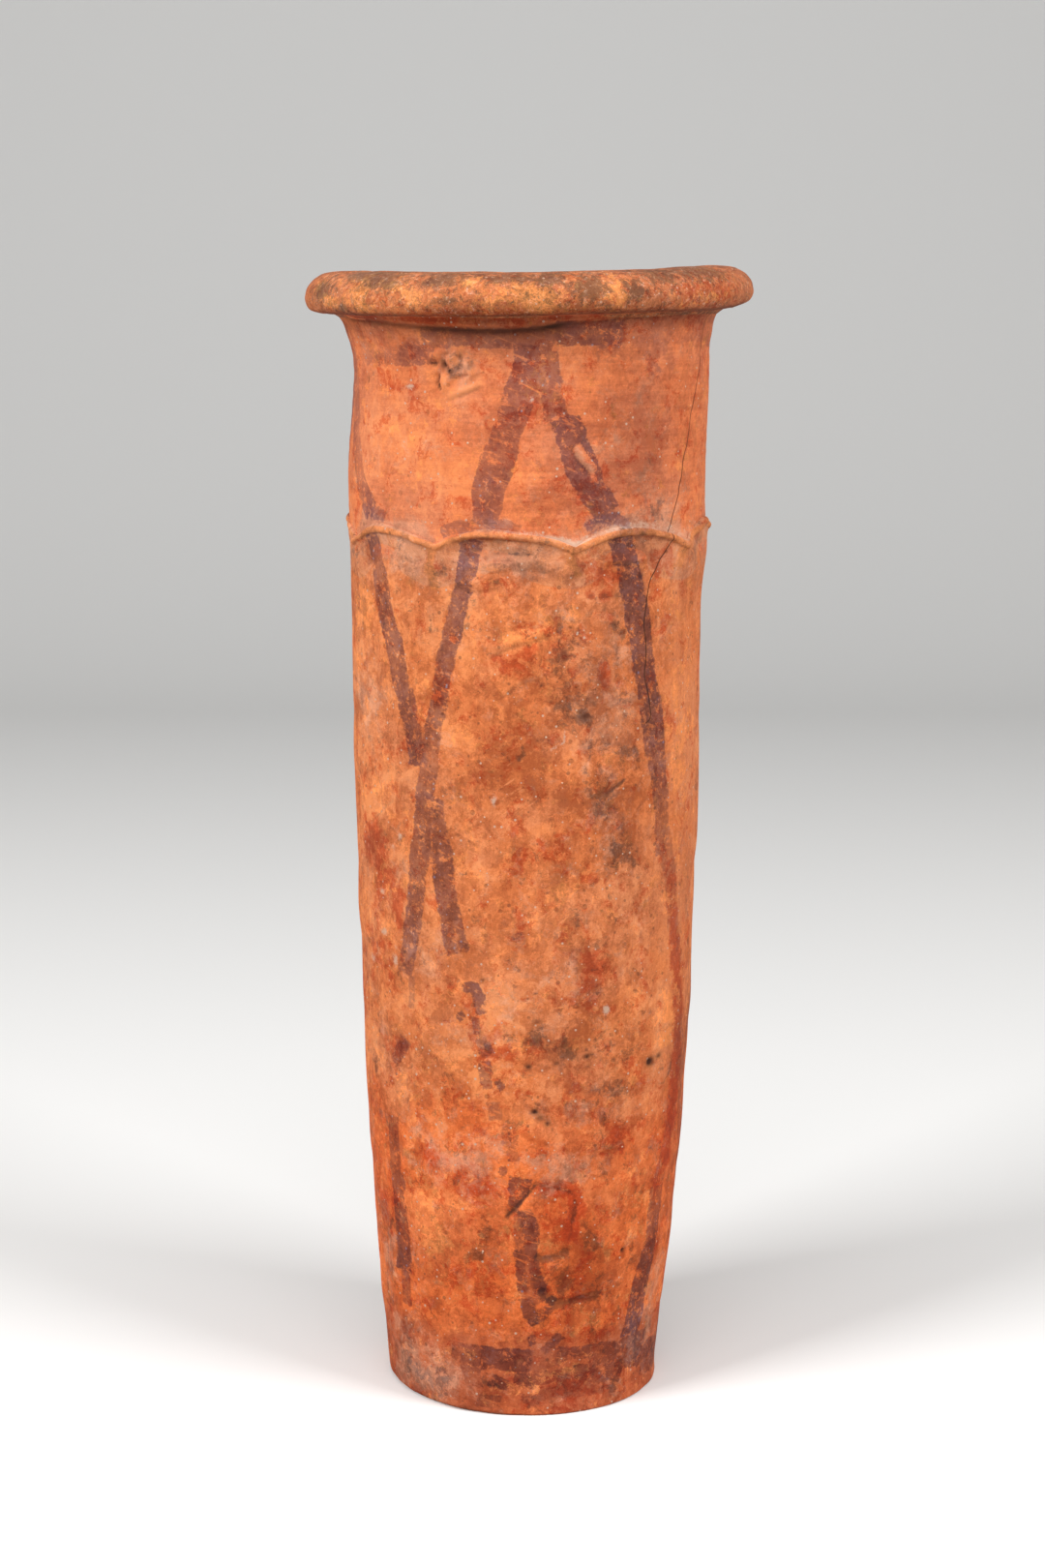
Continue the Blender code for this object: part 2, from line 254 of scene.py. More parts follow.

# Stains on the clay, and painted shade and highlight stored with them: angle in degrees, then height, half
# width and half height in mm, and strength
STAINS = {
    Mark.BURNT_AND_SHADE: (
        (-5, 167, 10, 9, 1.2), (-6, 160, 6, 5, 0.5), (8, 158, 8, 6, 0.4), (30, 160, 8, 14, 0.9),
        (19, 158, 7, 10, 0.5), (44, 180, 8, 20, 0.55), (20, 101, 6, 8, 0.4), (46, 32, 5, 9, 0.5),
        (27, 212, 9, 5, 0.9), (18, 108, 7, 22, 0.55), (8, 126, 6, 8, 0.4), (27, 184, 9, 9, 0.5),
        (31, 32, 7, 8, 0.9), (18, 24, 8, 4, 0.9), (9, 52, 6, 8, 1.2), (-62, 98, 6, 7, 0.7),
        (33, 146, 6, 6, 0.6), (26, 155, 4, 5, 0.6), (24, 143, 6, 6, 0.4), (8, 190, 6, 10, 0.4),
        (17, 180, 6, 7, 0.5), (4, 143, 8, 6, 0.3), (18, 125, 5, 9, 0.4), (33, 128, 4, 8, 0.35),
        (21, 110, 4, 9, 0.5), (34, 93, 5, 5, 0.45), (30, 84, 5, 5, 0.6), (32, 73, 5, 5, 0.6),
        (14, 95, 4, 5, 0.4), (-66, 78, 7, 10, 0.45), (-50, 92, 5, 4, 0.5), (-55, 77, 5, 5, 0.5),
        (71, 80, 9, 22, 0.75), (-22, 64, 6, 6, 0.4), (-18, 47, 8, 4, 0.6), (-28, 38, 7, 6, 0.35),
        (-33, 27, 10, 3, 0.5), (14, 36, 7, 6, 0.7), (24, 47, 4, 5, 0.5), (36, 26, 4, 5, 0.5),
        (10, 60, 6, 2, 0.4), (-66, 32, 6, 14, 0.3), (17, 228, 8, 7, 0.5), (5, 229, 6, 4, 0.5),
        (30, 238, 12, 16, 0.7), (46, 244, 14, 22, 0.6), (8, 246, 4, 8, 0.3), (-70, 236, 6, 6, 0.5),
        (24, 46, 6, 12, 0.5), (17, 36, 8, 5, 0.4), (2, 33, 9, 9, 0.2), (130, 90, 16, 22, 0.6),
        (-150, 180, 18, 20, 0.5), (175, 60, 20, 22, 0.6),
    ),
    Mark.PALE: (
        (-62, 154, 8, 4, 0.9), (-50, 160, 6, 3, 0.6), (-66, 150, 6, 3, 0.5), (-33, 100, 9, 12, 0.45),
        (-32, 115, 6, 4, 0.4), (-8, 108, 8, 5, 0.5), (2, 115, 8, 6, 0.3), (17, 165, 5, 5, 0.6),
        (-20, 145, 8, 10, 0.3), (56, 120, 6, 16, 0.35), (54, 100, 6, 10, 0.5), (-13, 200, 7, 8, 0.4),
        (-58, 198, 7, 8, 0.45), (-30, 75, 6, 5, 0.5), (-22, 87, 6, 5, 0.3), (36, 58, 8, 6, 0.45),
        (40, 45, 6, 6, 0.3), (-42, 50, 6, 6, 0.3), (-31, 127, 3, 8, 1), (-28, 178, 5, 12, 0.5),
        (-16, 102, 6, 11, 0.8), (-16, 68, 7, 10, 0.6), (-36, 68, 8, 8, 0.5), (-4, 6, 7, 3, 0.3),
        (-4, 112, 6, 10, 0.3), (-55, 240, 12, 12, 0.5), (-38, 248, 12, 8, 0.4), (-30, 232, 8, 8, 0.4),
        # The four small spots from -30.9 degrees lie on the scar's lumps: paler broken clay, with painted
        # highlight
        (-18, 257, 8, 3, 0.4), (-30.9, 261.1, 1.3, 0.9, 0.8), (-25, 260.4, 1.1, 0.8, 0.7),
        (-27.9, 255.2, 1, 1.4, 0.8), (-20.4, 259.4, 0.9, 1, 0.6), (0, 240, 3, 4, 0.3), (12, 258, 5, 4, 0.3),
        (160, 150, 16, 20, 0.5), (-110, 200, 14, 16, 0.4),
    ),
    Mark.OCHRE: (
        (-64, 200, 6, 8, 0.8), (-63, 156, 7, 3, 0.8), (61, 165, 6, 30, 0.5), (56, 99, 5, 8, 0.8),
        (-2, 195.5, 7, 2.2, 0.9), (8, 199, 4, 3, 0.5), (-6, 50, 3, 3, 0.5), (27, 24, 3, 3, 0.5),
        (40, 50, 8, 10, 0.4), (-36, 48, 9, 10, 0.6), (9, 133, 5, 5, 0.5), (-48, 85, 5, 5, 0.4),
        (-4, 6, 6, 3, 0.3), (-47, 275.5, 3.2, 2.6, 1.3), (-59, 273.4, 5, 1.4, 1),
        (-29.5, 274.6, 3, 1.8, 1.2), (-44, 272.4, 3.5, 0.9, 0.9), (-15, 277.6, 1.8, 0.9, 1.2),
        (-9.5, 274, 3.2, 1.8, 0.8), (-2.5, 275.5, 3.8, 2.4, 0.8), (3, 274, 4.8, 2.6, 1.2),
        (21.5, 275.2, 2.2, 3.4, 1.1), (50, 273.6, 5, 0.9, 0.7), (-68, 277, 2.5, 1.5, 0.9),
        (-36, 276.6, 3, 1.2, 0.9),
    ),
    Mark.RUST_AND_SHADE: (
        (-54, 133, 6, 5, 0.9), (-62, 142, 7, 5, 0.8), (-48, 128, 3, 5, 0.6), (-60, 115, 8, 6, 0.5),
        (25.5, 187, 1.4, 3, 2.2), (31, 184, 2, 2, 0.6), (-2, 189, 5, 5, 0.6), (0, 199, 5, 1.2, 0.6),
        (5, 145, 7, 5, 0.4), (-8, 95, 6, 4, 0.4), (-14, 92, 5, 12, 0.4), (20, 110, 3, 8, 0.7),
        (-50, 93, 5, 3, 0.8), (-34, 67, 3, 3, 1), (-19, 62, 6, 5, 0.6), (-16, 61, 3, 2.5, 0.7),
        (31, 73, 4, 4, 0.6), (-20, 36, 9, 6, 0.3), (-65, 48, 4, 9, 0.4), (14, 8, 12, 4, 0.25),
        (30, 6, 10, 4, 0.4), (0, 247, 3, 6, 0.4), (2.5, 256, 4, 6, 0.4), (17, 227, 8, 6, 0.5),
        (-46, 255, 8, 3, 0.2), (50, 275, 16, 4, 1.05), (-10, 271.6, 30, 0.8, 1), (170, 60, 20, 24, 0.6),
        (-90, 100, 12, 20, 0.5), (24, 46, 6, 12, 0.3), (17, 36, 8, 5, 0.2), (4, 34, 8, 9, 0.2),
        (24, 212, 7, 5, 0.3), (8, 52, 6, 9, 0.4), (20, 24, 9, 5, 0.3), (46, 211, 7, 6, 0.4),
        (24.5, 205.2, 1.5, 1.3, 1.4), (20, 205.4, 1.1, 0.9, 1),
    ),
    Mark.SOIL: (
        (18.5, 176.5, 2.2, 1.8, 1.3), (20.5, 171, 0.8, 4, 0.7), (11, 191, 5, 8, 0.6), (14, 181, 5, 5, 0.5),
        (34, 168, 3, 3, 0.6), (25, 158, 2, 3, 0.7), (25, 153, 2, 2, 0.7), (33, 143, 4, 4, 0.5),
        (28, 198, 1.2, 1.5, 1), (31.5, 196, 1, 1, 0.9), (24.5, 205, 5, 1, 0.8), (4, 99, 2.5, 4, 0.95),
        (12.5, 98, 1.8, 1.5, 0.9), (14, 94.5, 2, 1.6, 0.9), (17, 128, 1.5, 3, 0.8), (28, 132.5, 1, 1, 0.8),
        (30, 83, 5, 4, 0.7), (34, 95, 4, 4, 0.4), (-66, 86, 3, 4, 0.6), (-14, 49, 2, 2.5, 1),
        (-17, 43, 3, 2, 0.8), (14, 36, 5, 4, 0.8), (25, 45, 3, 4, 0.6), (-45, 20, 3, 2.5, 0.8),
        (-47, 8, 6, 6, 0.5), (-33, 8, 3, 4, 0.4), (-14, 8, 3, 1.4, 1), (40, 4, 2, 2, 0.9),
        (-24, 258.6, 5, 3.6, 1.3), (-65, 276, 4.5, 2, 1.3), (-51, 279, 5, 1, 1.2),
        (-40, 278, 5.5, 1.8, 1.1), (-22, 278, 5, 1.6, 1), (15, 276, 3, 2.4, 1.6), (5, 278, 3, 1.2, 1.3),
        (26, 275.5, 2, 2, 1.3), (52, 278.5, 8, 1.5, 1.1), (-54, 272.2, 2, 0.8, 1), (-20, 274, 3, 0.8, 0.8),
        (35, 278, 5, 1.5, 0.9), (-6, 278.4, 5, 0.9, 0.9), (62, 8, 10, 4, 0.4), (48, 224, 12, 4, 0.9),
        (26, 160, 6, 10, 0.4), (30, 32, 6, 6, 0.4), (120, 150, 14, 30, 0.7), (-140, 120, 16, 36, 0.7),
    ),
    Mark.CHALK: (
        (27.3, 105, 0.9, 1.2, 1.2), (-56, 121, 1.6, 1.2, 0.8), (-57, 131, 1.6, 1, 0.8),
        (-66, 113, 3, 1.6, 0.6), (-49.5, 115, 1.2, 1.6, 0.8), (-49, 118, 1, 0.7, 0.6),
        (-46, 146, 1, 1.2, 0.8), (-50, 143, 1.4, 1.2, 0.6), (-10.4, 157, 0.8, 1.8, 0.8),
        (12, 172, 0.4, 1.4, 0.8), (-41, 253.7, 1.6, 0.6, 1), (0, 251, 0.6, 0.6, 0.9), (-34, 241, 1, 1, 0.5),
        (20, 257, 2, 1.2, 0.35), (-14, 81, 0.8, 0.5, 0.7),
    ),
    Mark.DUST: (
        (-50, 9, 13, 9, 1), (-30, 8, 5, 4, 0.6), (55, 14, 10, 8, 0.7), (27, 180, 10, 20, 0.75),
        (-16, 68, 7, 9, 0.8), (-36, 68, 9, 8, 0.6), (12, 118, 6, 12, 0.5), (28, 150, 7, 8, 0.5),
        (-8, 105, 7, 8, 0.5), (-65, 178, 7, 8, 0.9), (15, 66, 9, 5, 0.9), (-36, 116, 6, 4, 0.5),
        (-24, 257.6, 5, 4, 1.2), (28, 240, 8, 14, 0.35), (48, 226, 8, 6, 0.8), (22, 80, 6, 5, 0.5),
        (-66, 36, 6, 12, 0.8), (-37, 211, 6, 4, 0.5), (-5, 213, 9, 3.5, 0.5), (36, 212, 12, 5, 0.25),
        (70, 212, 8, 6, 0.3), (-42, 220, 6, 2.5, 1), (-64, 222, 5, 2.5, 0.8), (-10, 222.8, 8, 1.3, 1),
        (27, 222.8, 6, 1.4, 0.8), (64, 26, 6, 12, 0.7), (180, 160, 22, 18, 0.6), (-110, 60, 14, 16, 0.7),
        (120, 215, 12, 5, 0.8),
    ),
    Mark.CALM: (
        (54, 275, 20, 7, 1.2), (62, 170, 9, 45, 1), (60, 100, 8, 40, 0.8), (66, 140, 8, 60, 0.6),
    ),
    Mark.SOOT_AND_SHADE: (
        (47.5, 89.3, 1.5, 1.2, 1.5), (52, 90.2, 1.1, 0.8, 1), (40.3, 41.3, 0.6, 0.6, 1.5),
        (3, 80.3, 0.9, 0.7, 1.4), (4.8, 78.8, 1.1, 1.2, 0.75), (7.5, 77.2, 0.7, 0.7, 1.2),
        (21, 93.6, 0.9, 0.6, 1.3), (0.8, 91.8, 0.8, 0.7, 1.2), (10.2, 92.5, 0.7, 0.5, 1),
        (3.6, 103, 1.2, 0.5, 0.8), (3.5, 98.5, 1.3, 1.7, 0.42), (5.2, 96.5, 0.8, 0.7, 0.45),
        (12.5, 98, 0.9, 0.7, 0.6), (14, 95, 0.8, 0.6, 0.5), (73, 116, 0.8, 1, 0.9),
        (4.6, 184.6, 0.5, 0.5, 1.1), (18.8, 177.2, 1.1, 0.7, 0.9), (24.5, 205.3, 1, 0.8, 0.8),
        (20, 205.3, 0.7, 0.6, 0.7), (29, 205.2, 0.6, 0.5, 0.8), (28.5, 198.3, 0.9, 0.7, 0.9),
        # Painted shade in the crevices of the broken scar and under its lumps
        (-28.3, 259, 0.6, 1.4, 0.6), (-26.2, 257.6, 1, 0.6, 0.7), (-23.2, 258.4, 0.6, 1.2, 0.7),
        (-22.2, 260.8, 0.8, 1, 0.6), (-19.2, 258.8, 0.4, 1.2, 0.6), (-24.6, 256.2, 1, 0.5, 0.6),
        (-20.6, 256.6, 0.8, 0.4, 0.6), (-31, 259.2, 1.2, 0.4, 0.6), (-26.6, 261.4, 0.9, 0.4, 0.6),
        (5.3, 37.2, 0.9, 0.8, 0.8), (-14.5, 113.2, 0.6, 0.5, 0.9), (24.6, 202.2, 0.5, 0.8, 0.7),
    ),
}

# Stains, and painted shade, that run along a line: its path, half width in mm and strength
TRAILS = {
    Mark.SOOT_AND_SHADE: (
        # Painted shadow under the lower edge of the fold below the rim: a dark line in the crease, a broader
        # shade fading below it, and a thinner line on to the right
        (
            (
                (-74, 269.6), (-60, 269), (-45, 268.3), (-35, 267.6), (-20, 267), (-8, 266.8), (1, 267.1),
                (14, 268.4),
            ),
            0.65, 0.7,
        ),
        (((-38, 267.1), (-20, 266.2), (-6, 266), (3, 266.5), (12, 267.6)), 1.3, 0.42),
        (((2, 267.4), (16, 268.6), (30, 269.2), (44, 269.5)), 0.5, 0.56),
        (((-7, 53), (-3.6, 55.5)), 0.45, 0.6),
        (((-63.5, 256.6), (-62.8, 254)), 0.25, 0.8),
        # Painted shade in the crevices of the broken scar and under its lumps
        (((-30, 256.8), (-30.4, 254.9), (-29.2, 252.8)), 0.35, 1),
        (((-28.4, 260.6), (-27.6, 258.8), (-26.2, 257.4), (-25.4, 256.6)), 0.4, 0.5),
        (((-33, 260.4), (-31.8, 259), (-30, 258.8)), 0.35, 0.6),
        (((-22.6, 261.2), (-21.8, 259.8), (-22.6, 258.6)), 0.4, 0.4),
        (((-18.6, 260.4), (-18.2, 257.4)), 0.28, 0.55),
    ),
    Mark.RUST_AND_SHADE: (
        # Painted shade in the hollow under the rim's nose, redder and darker
        (((-76, 270.2), (-30, 269.6), (0, 269.4), (24, 269.8)), 1.6, 0.6),
        (((4, 61.8), (9, 60.4), (14, 60.2), (18.4, 58.5), (18.6, 54), (17, 49), (16.2, 46)), 1.6, 1.4),
        (
            ((52, 142), (57.5, 128), (61, 117), (63, 106), (64.8, 94), (65, 82), (63, 68), (58, 52)),
            2.6, 1.3,
        ),
    ),
    Mark.BURNT_AND_SHADE: (
        # Painted shade in the hollow under the rim's nose
        (((-72, 270.2), (-30, 269.6), (0, 269.4), (40, 270), (74, 270.4)), 1.8, 1.1),
    ),
    Mark.SOIL: (
        (((-7.5, 52.6), (-3.5, 55.4), (2, 60), (4.2, 62.3)), 0.55, 1.2),
        (((6, 61), (14, 60), (18.4, 58), (18.4, 54), (16.6, 47)), 0.7, 0.8),
        (((3, 43), (7, 42), (12, 42.8), (17.6, 44.6)), 1.2, 1.3),
        (((6, 35), (7.6, 32.4), (10.8, 30.2), (16, 29.8), (24, 30.7), (32, 30.6)), 1.2, 1.3),
        (((19, 52), (24, 49), (26.6, 46), (27, 42.5)), 1, 0.7),
        (((-63, 42.5), (-58, 47.5)), 0.5, 0.9),
        (((25, 157.2), (30, 159.4), (34, 161.4)), 0.35, 1.2),
        (((50, 84), (55, 82.3), (60, 85), (61, 88), (57, 90)), 0.5, 0.8),
        (((-12, 215.2), (-4, 215.4), (3, 215.2)), 0.35, 0.9),
        (((33.5, 31), (34, 22)), 0.6, 0.6),
        (((39, 30), (40.5, 25)), 0.5, 0.6),
        (((-6, 173), (-8, 169), (-5, 166), (-1, 168), (-2, 172), (-5, 173)), 0.6, 0.6),
    ),
    Mark.PALE: (
        (((-14, 104), (-5, 102.6), (0, 101)), 0.7, 1),
        (((-66, 146), (-48, 155)), 0.5, 1),
        (((-70, 150.5), (-46, 162)), 1, 0.8),
        (((-27.5, 238), (-27.5, 228)), 0.4, 0.7),
        (((-47, 159), (-33, 166)), 0.8, 0.9),
    ),
    Mark.CHALK: (
        (((7, 169), (12, 171)), 0.4, 0.5),
    ),
    Mark.OCHRE: (
        (((-29.5, 216.6), (-30.6, 212), (-29.4, 206)), 1.3, 1.8),
        (((-30.5, 213), (-36, 207.5)), 0.9, 0.8),
        (((14, 216), (13.4, 213.6), (17, 209.5)), 0.9, 0.9),
        (((57.6, 216.4), (56, 213), (53, 209)), 1.2, 1.6),
    ),
    Mark.DUST: (
        (((13.6, 240.8), (17.2, 236.6), (21.4, 233.8)), 0.9, 1.3),
    ),
}

# The long crack down the right of the collar
CRACK = (
    (68, 270), (67, 265), (67, 257.5), (63.5, 251.5), (60.5, 243), (58, 235), (55.5, 227.5), (52, 222.3),
    (49.3, 218.6), (50.3, 216.8), (46, 213), (42.7, 209), (40.6, 204), (40.2, 198), (41, 188), (40.4, 176),
)

# Lines that fingers and tools left: path, half width and depth in mm, below zero where they stand proud
GROOVES = tuple(
    Line(*row)
    for row in (
        (((-13, 190.4), (-5, 193.4), (4, 195.2), (8, 196.2)), 1, 0.35),
        (((-11, 192.2), (-4, 195), (4, 196.8), (8, 197.4)), 1.5, -0.3),
        (((-8, 196.8), (-2, 198.4), (7, 198.4)), 0.9, 0.3),
        (((-9, 181), (-2, 185), (5, 186)), 1.2, 0.18),
        (((-7.5, 52.6), (-3.5, 55.4), (2, 60), (4.2, 62.3)), 0.9, 0.55),
        (((4, 62), (9, 60.6), (14, 60.2), (18.4, 58.4)), 1.4, 0.3),
        (((3, 43), (7, 42), (12, 42.8), (17.6, 44.6)), 1.3, 0.4),
        (((6, 35), (7.6, 32.4), (10.8, 30.2), (16, 29.8), (24, 30.7), (32, 30.6)), 1.4, 0.4),
        (((18.4, 58), (18.6, 54), (17, 49), (16.2, 46)), 1.6, 0.22),
        (((12.5, 240.4), (16, 236), (20.4, 233)), 1, 0.55),
        (((14.6, 240.4), (17.6, 236.8), (20.8, 234.2)), 0.6, -0.4),
        (((20.2, 241.4), (22, 238.6)), 0.6, -0.35),
        (((25, 157.2), (30, 159.4), (34, 161.4)), 0.7, 0.18),
        (((-66, 146), (-48, 155)), 0.8, 0.15),
        (((-12, 215.2), (-4, 215.4), (3, 215.2)), 0.7, 0.3),
        (((-28.4, 260.6), (-27.6, 258.8), (-26.2, 257.4), (-25.4, 256.6)), 0.7, 0.45),
        (((-30, 256.8), (-30.4, 254.9), (-29.2, 252.8)), 0.7, 0.8),
        (((-27, 250.6), (-21, 252), (-15.2, 254)), 0.7, 0.3),
        (((-27, 251.6), (-21, 253), (-15.2, 255)), 0.9, -0.35),
        (((-44, 213.4), (-38, 212.6), (-32, 213.6)), 0.8, 0.3),
        (((-20, 211.6), (-10, 211), (0, 211.8), (9, 210.6)), 0.9, 0.28),
        (((22, 211.4), (30, 212.6), (38, 211)), 0.9, 0.26),
        (((-24, 207.4), (-16, 206.2), (-9, 207.2)), 0.8, 0.26),
    )
)

# The lower edge of the clay that was folded down from the rim over the top of the collar
FOLD = (
    (-76, 270.6), (-60, 269.8), (-45, 269), (-35, 268.5), (-20, 267.9), (-8, 267.7), (0, 267.9), (9, 268.7),
    (32, 269.6),
)

# Where a lump broke off and left crumbled clay
SCAR = Spot(-24, 258, 5, 4.2, 1)

# Hollows in the clay, or lumps where the depth in mm, which comes last, is below zero
DENTS = tuple(
    Spot(*row)
    for row in (
        (-30.9, 260.9, 1.7, 1.4, -1.5), (-30.8, 259.3, 1, 0.6, 0.6), (-25, 260, 1.3, 1.2, -1),
        (-22.3, 260.6, 0.8, 0.9, 0.5), (-20.4, 259.2, 1.1, 1.4, -0.9), (-18, 257.4, 0.9, 1.3, -0.7),
        (-27.9, 254.9, 1.3, 1.8, -1), (-22.6, 257.2, 1.3, 0.9, -0.8), (-24.4, 254.6, 1.2, 0.9, 0.5),
        (-20.6, 255.4, 1.1, 0.8, -0.6), (-26.4, 262.4, 1.1, 0.7, -0.7), (82, 212, 20, 8, -1),
        (47.5, 89.3, 1, 0.9, 0.9), (40.3, 41.3, 0.6, 0.6, 0.8), (3, 80.3, 0.9, 0.8, 0.6),
        (6, 78, 1.4, 1, 0.5), (-10.4, 157, 0.9, 1.7, -0.5), (-8.3, 47, 0.8, 0.8, -0.5),
        (-38.5, 53, 0.7, 0.7, -0.4), (4, 99, 2.6, 3.6, 0.3), (14, 36, 7, 5, 0.35), (11, 52, 5, 6, -0.35),
        (-16, 47, 7, 5, 0.35), (-34, 160, 7, 8, -0.3), (24, 178, 9, 10, 0.4), (-8, 128, 12, 10, -0.3),
        (21, 93.6, 1, 0.7, 0.4), (48, 0.5, 20, 3, -1.2), (90, 262, 16, 14, 0.6), (-45, 2, 9, 2.2, 0.5),
        (150, 120, 14, 16, 0.6), (-120, 70, 12, 14, 0.5), (100, 190, 10, 12, 0.4),
    )
)

# Residue on the ridge, clean thumb marks and the wide part of the waist: angle and half width in
# degrees, and strength
THIN_CHALK = ((3, 7, 0.45), (11, 6, 0.75), (27, 12, 0.52), (-8, 8, 0.25))
THICK_CHALK = ((13, 5, 0.35), (38, 9, 0.3), (52, 10, 0.5))
THICK_DUST = ((22, 9, 0.8), (50, 14, 1.5), (-57, 10, 1.2), (-35, 8, 1))
CLEAN_THUMB = ((36, 22, 1),)
WIDE_WAIST = ((-48, 16, 0.6),)


def smooth_step(low: float, high: float, value: Array) -> Array:
    """Rises smoothly from 0 at low to 1 at high."""
    share = np.clip((value - low) / (high - low), 0.0, 1.0)
    return share * share * (3.0 - 2.0 * share)


def wave_noise(points: Array, wavelength: float, seed: int, waves: int = 26) -> Array:
    """Smooth noise made of crossing waves.

    Args:
        points: Rows of x, y and z.
        wavelength: Typical length from crest to crest, in the unit of the points.
        seed: Fixed seed, so that every run gives the same noise.
        waves: How many waves are added.

    Returns:
        One value for each point, about 1 high at the crests.
    """
    dice = np.random.default_rng(seed)
    aim = dice.normal(size=(waves, 3))
    aim /= np.linalg.norm(aim, axis=1, keepdims=True)
    pitch = 2.0 * np.pi / (wavelength * dice.uniform(0.7, 1.6, waves))
    phase = dice.uniform(0.0, 2.0 * np.pi, waves)
    total = np.zeros(len(points))
    for direction, turn, start in zip(aim, pitch, phase):
        total += np.cos(points @ (direction * turn) + start)
    return total / math.sqrt(waves)


class Rough(NamedTuple):
    """An unevenness of the clay: how high and how long its waves are, its seed, and how it is drawn out."""

    height: float
    length: float
    seed: int
    drawn: tuple[float, float, float] = (1.0, 1.0, 1.0)

    def at(self, points: Array) -> Array:
        """Its height at each row of x, y and z."""
        return self.height * wave_noise(points * np.array(self.drawn), self.length, self.seed)


def wrapped(angle: Array) -> Array:
    """Angles brought to within half a turn of the front."""
    return np.mod(angle + math.pi, 2.0 * math.pi) - math.pi


class Around(NamedTuple):
    """Where vertices lie round the jar: angles in radians, heights and radii in metres."""

    angle: Array
    height: Array
    radius: Array

    def points(self) -> Array:
        """The same as rows of x, y and z."""
        across = self.radius * np.sin(self.angle)
        return np.column_stack((across, -self.radius * np.cos(self.angle), self.height))


def look_round(points: Array) -> Around:
    """Where rows of x, y and z lie round the jar."""
    angle = np.arctan2(points[:, 0], -points[:, 1])
    return Around(angle, points[:, 2], np.hypot(points[:, 0], points[:, 1]))


class Nearness(NamedTuple):
    """Where vertices lie by a path: distance and its side in metres, share of the way, run past an end."""

    distance: Array
    signed: Array
    along: Array
    past: Array


def near_path(path: Path, place: Around) -> Nearness:
    """Measures how vertices of the wall lie by a path of (degrees, mm) points.

    Args:
        path: Points along the middle of the stroke.
        place: Where each vertex lies.

    Returns:
        The measures, one of each for a vertex.
    """
    count = len(place.angle)
    found = Nearness(*(np.full(count, start) for start in (1.0, 1.0, 0.0, 0.0)))
    pieces = len(path) - 1
    for number, (start, end) in enumerate(zip(path, path[1:])):
        px = wrapped(place.angle - math.radians(start[0])) * place.radius
        py = place.height - start[1] * MM
        qx = math.radians(end[0] - start[0]) * place.radius
        qy = (end[1] - start[1]) * MM
        length = np.hypot(qx, qy)
        reach = (px * qx + py * qy) / np.maximum(length**2, NO_LENGTH)
        share = np.clip(reach, 0.0, 1.0)
        distance = np.hypot(px - share * qx, py - share * qy)
        side = np.sign(px * qy - py * qx)
        before = -reach if number == 0 else np.full(count, -1.0)
        after = reach - 1.0 if number == pieces - 1 else np.full(count, -1.0)
        past = np.clip(np.maximum(before, after), 0.0, None) * length
        new = Nearness(distance, distance * side, (number + share) / pieces, past)
        closer = distance < found.distance
        found = Nearness(*(np.where(closer, mine, old) for mine, old in zip(new, found)))
    return found


@dataclass(frozen=True)
class SmoothCurve:
    """A smooth function of height through measured stations."""

    heights: Array
    values: Array

    def __call__(self, height: Array) -> Array:
        """The value at each height, held level past both ends.

        Args:
            height: Heights in metres.

        Returns:
            One value for each height.
        """
        inside = np.clip(height, self.heights[0], self.heights[-1])
        below = np.clip(np.searchsorted(self.heights, inside, side="right") - 1, 0, len(self.heights) - 2)
        slope = np.gradient(self.values, self.heights)
        step = self.heights[below + 1] - self.heights[below]
        t = (inside - self.heights[below]) / step
        start = (1 + 2 * t) * (1 - t) ** 2 * self.values[below] + t * (1 - t) ** 2 * step * slope[below]
        end = t * t * (3 - 2 * t) * self.values[below + 1] - t * t * (1 - t) * step * slope[below + 1]
        return start + end


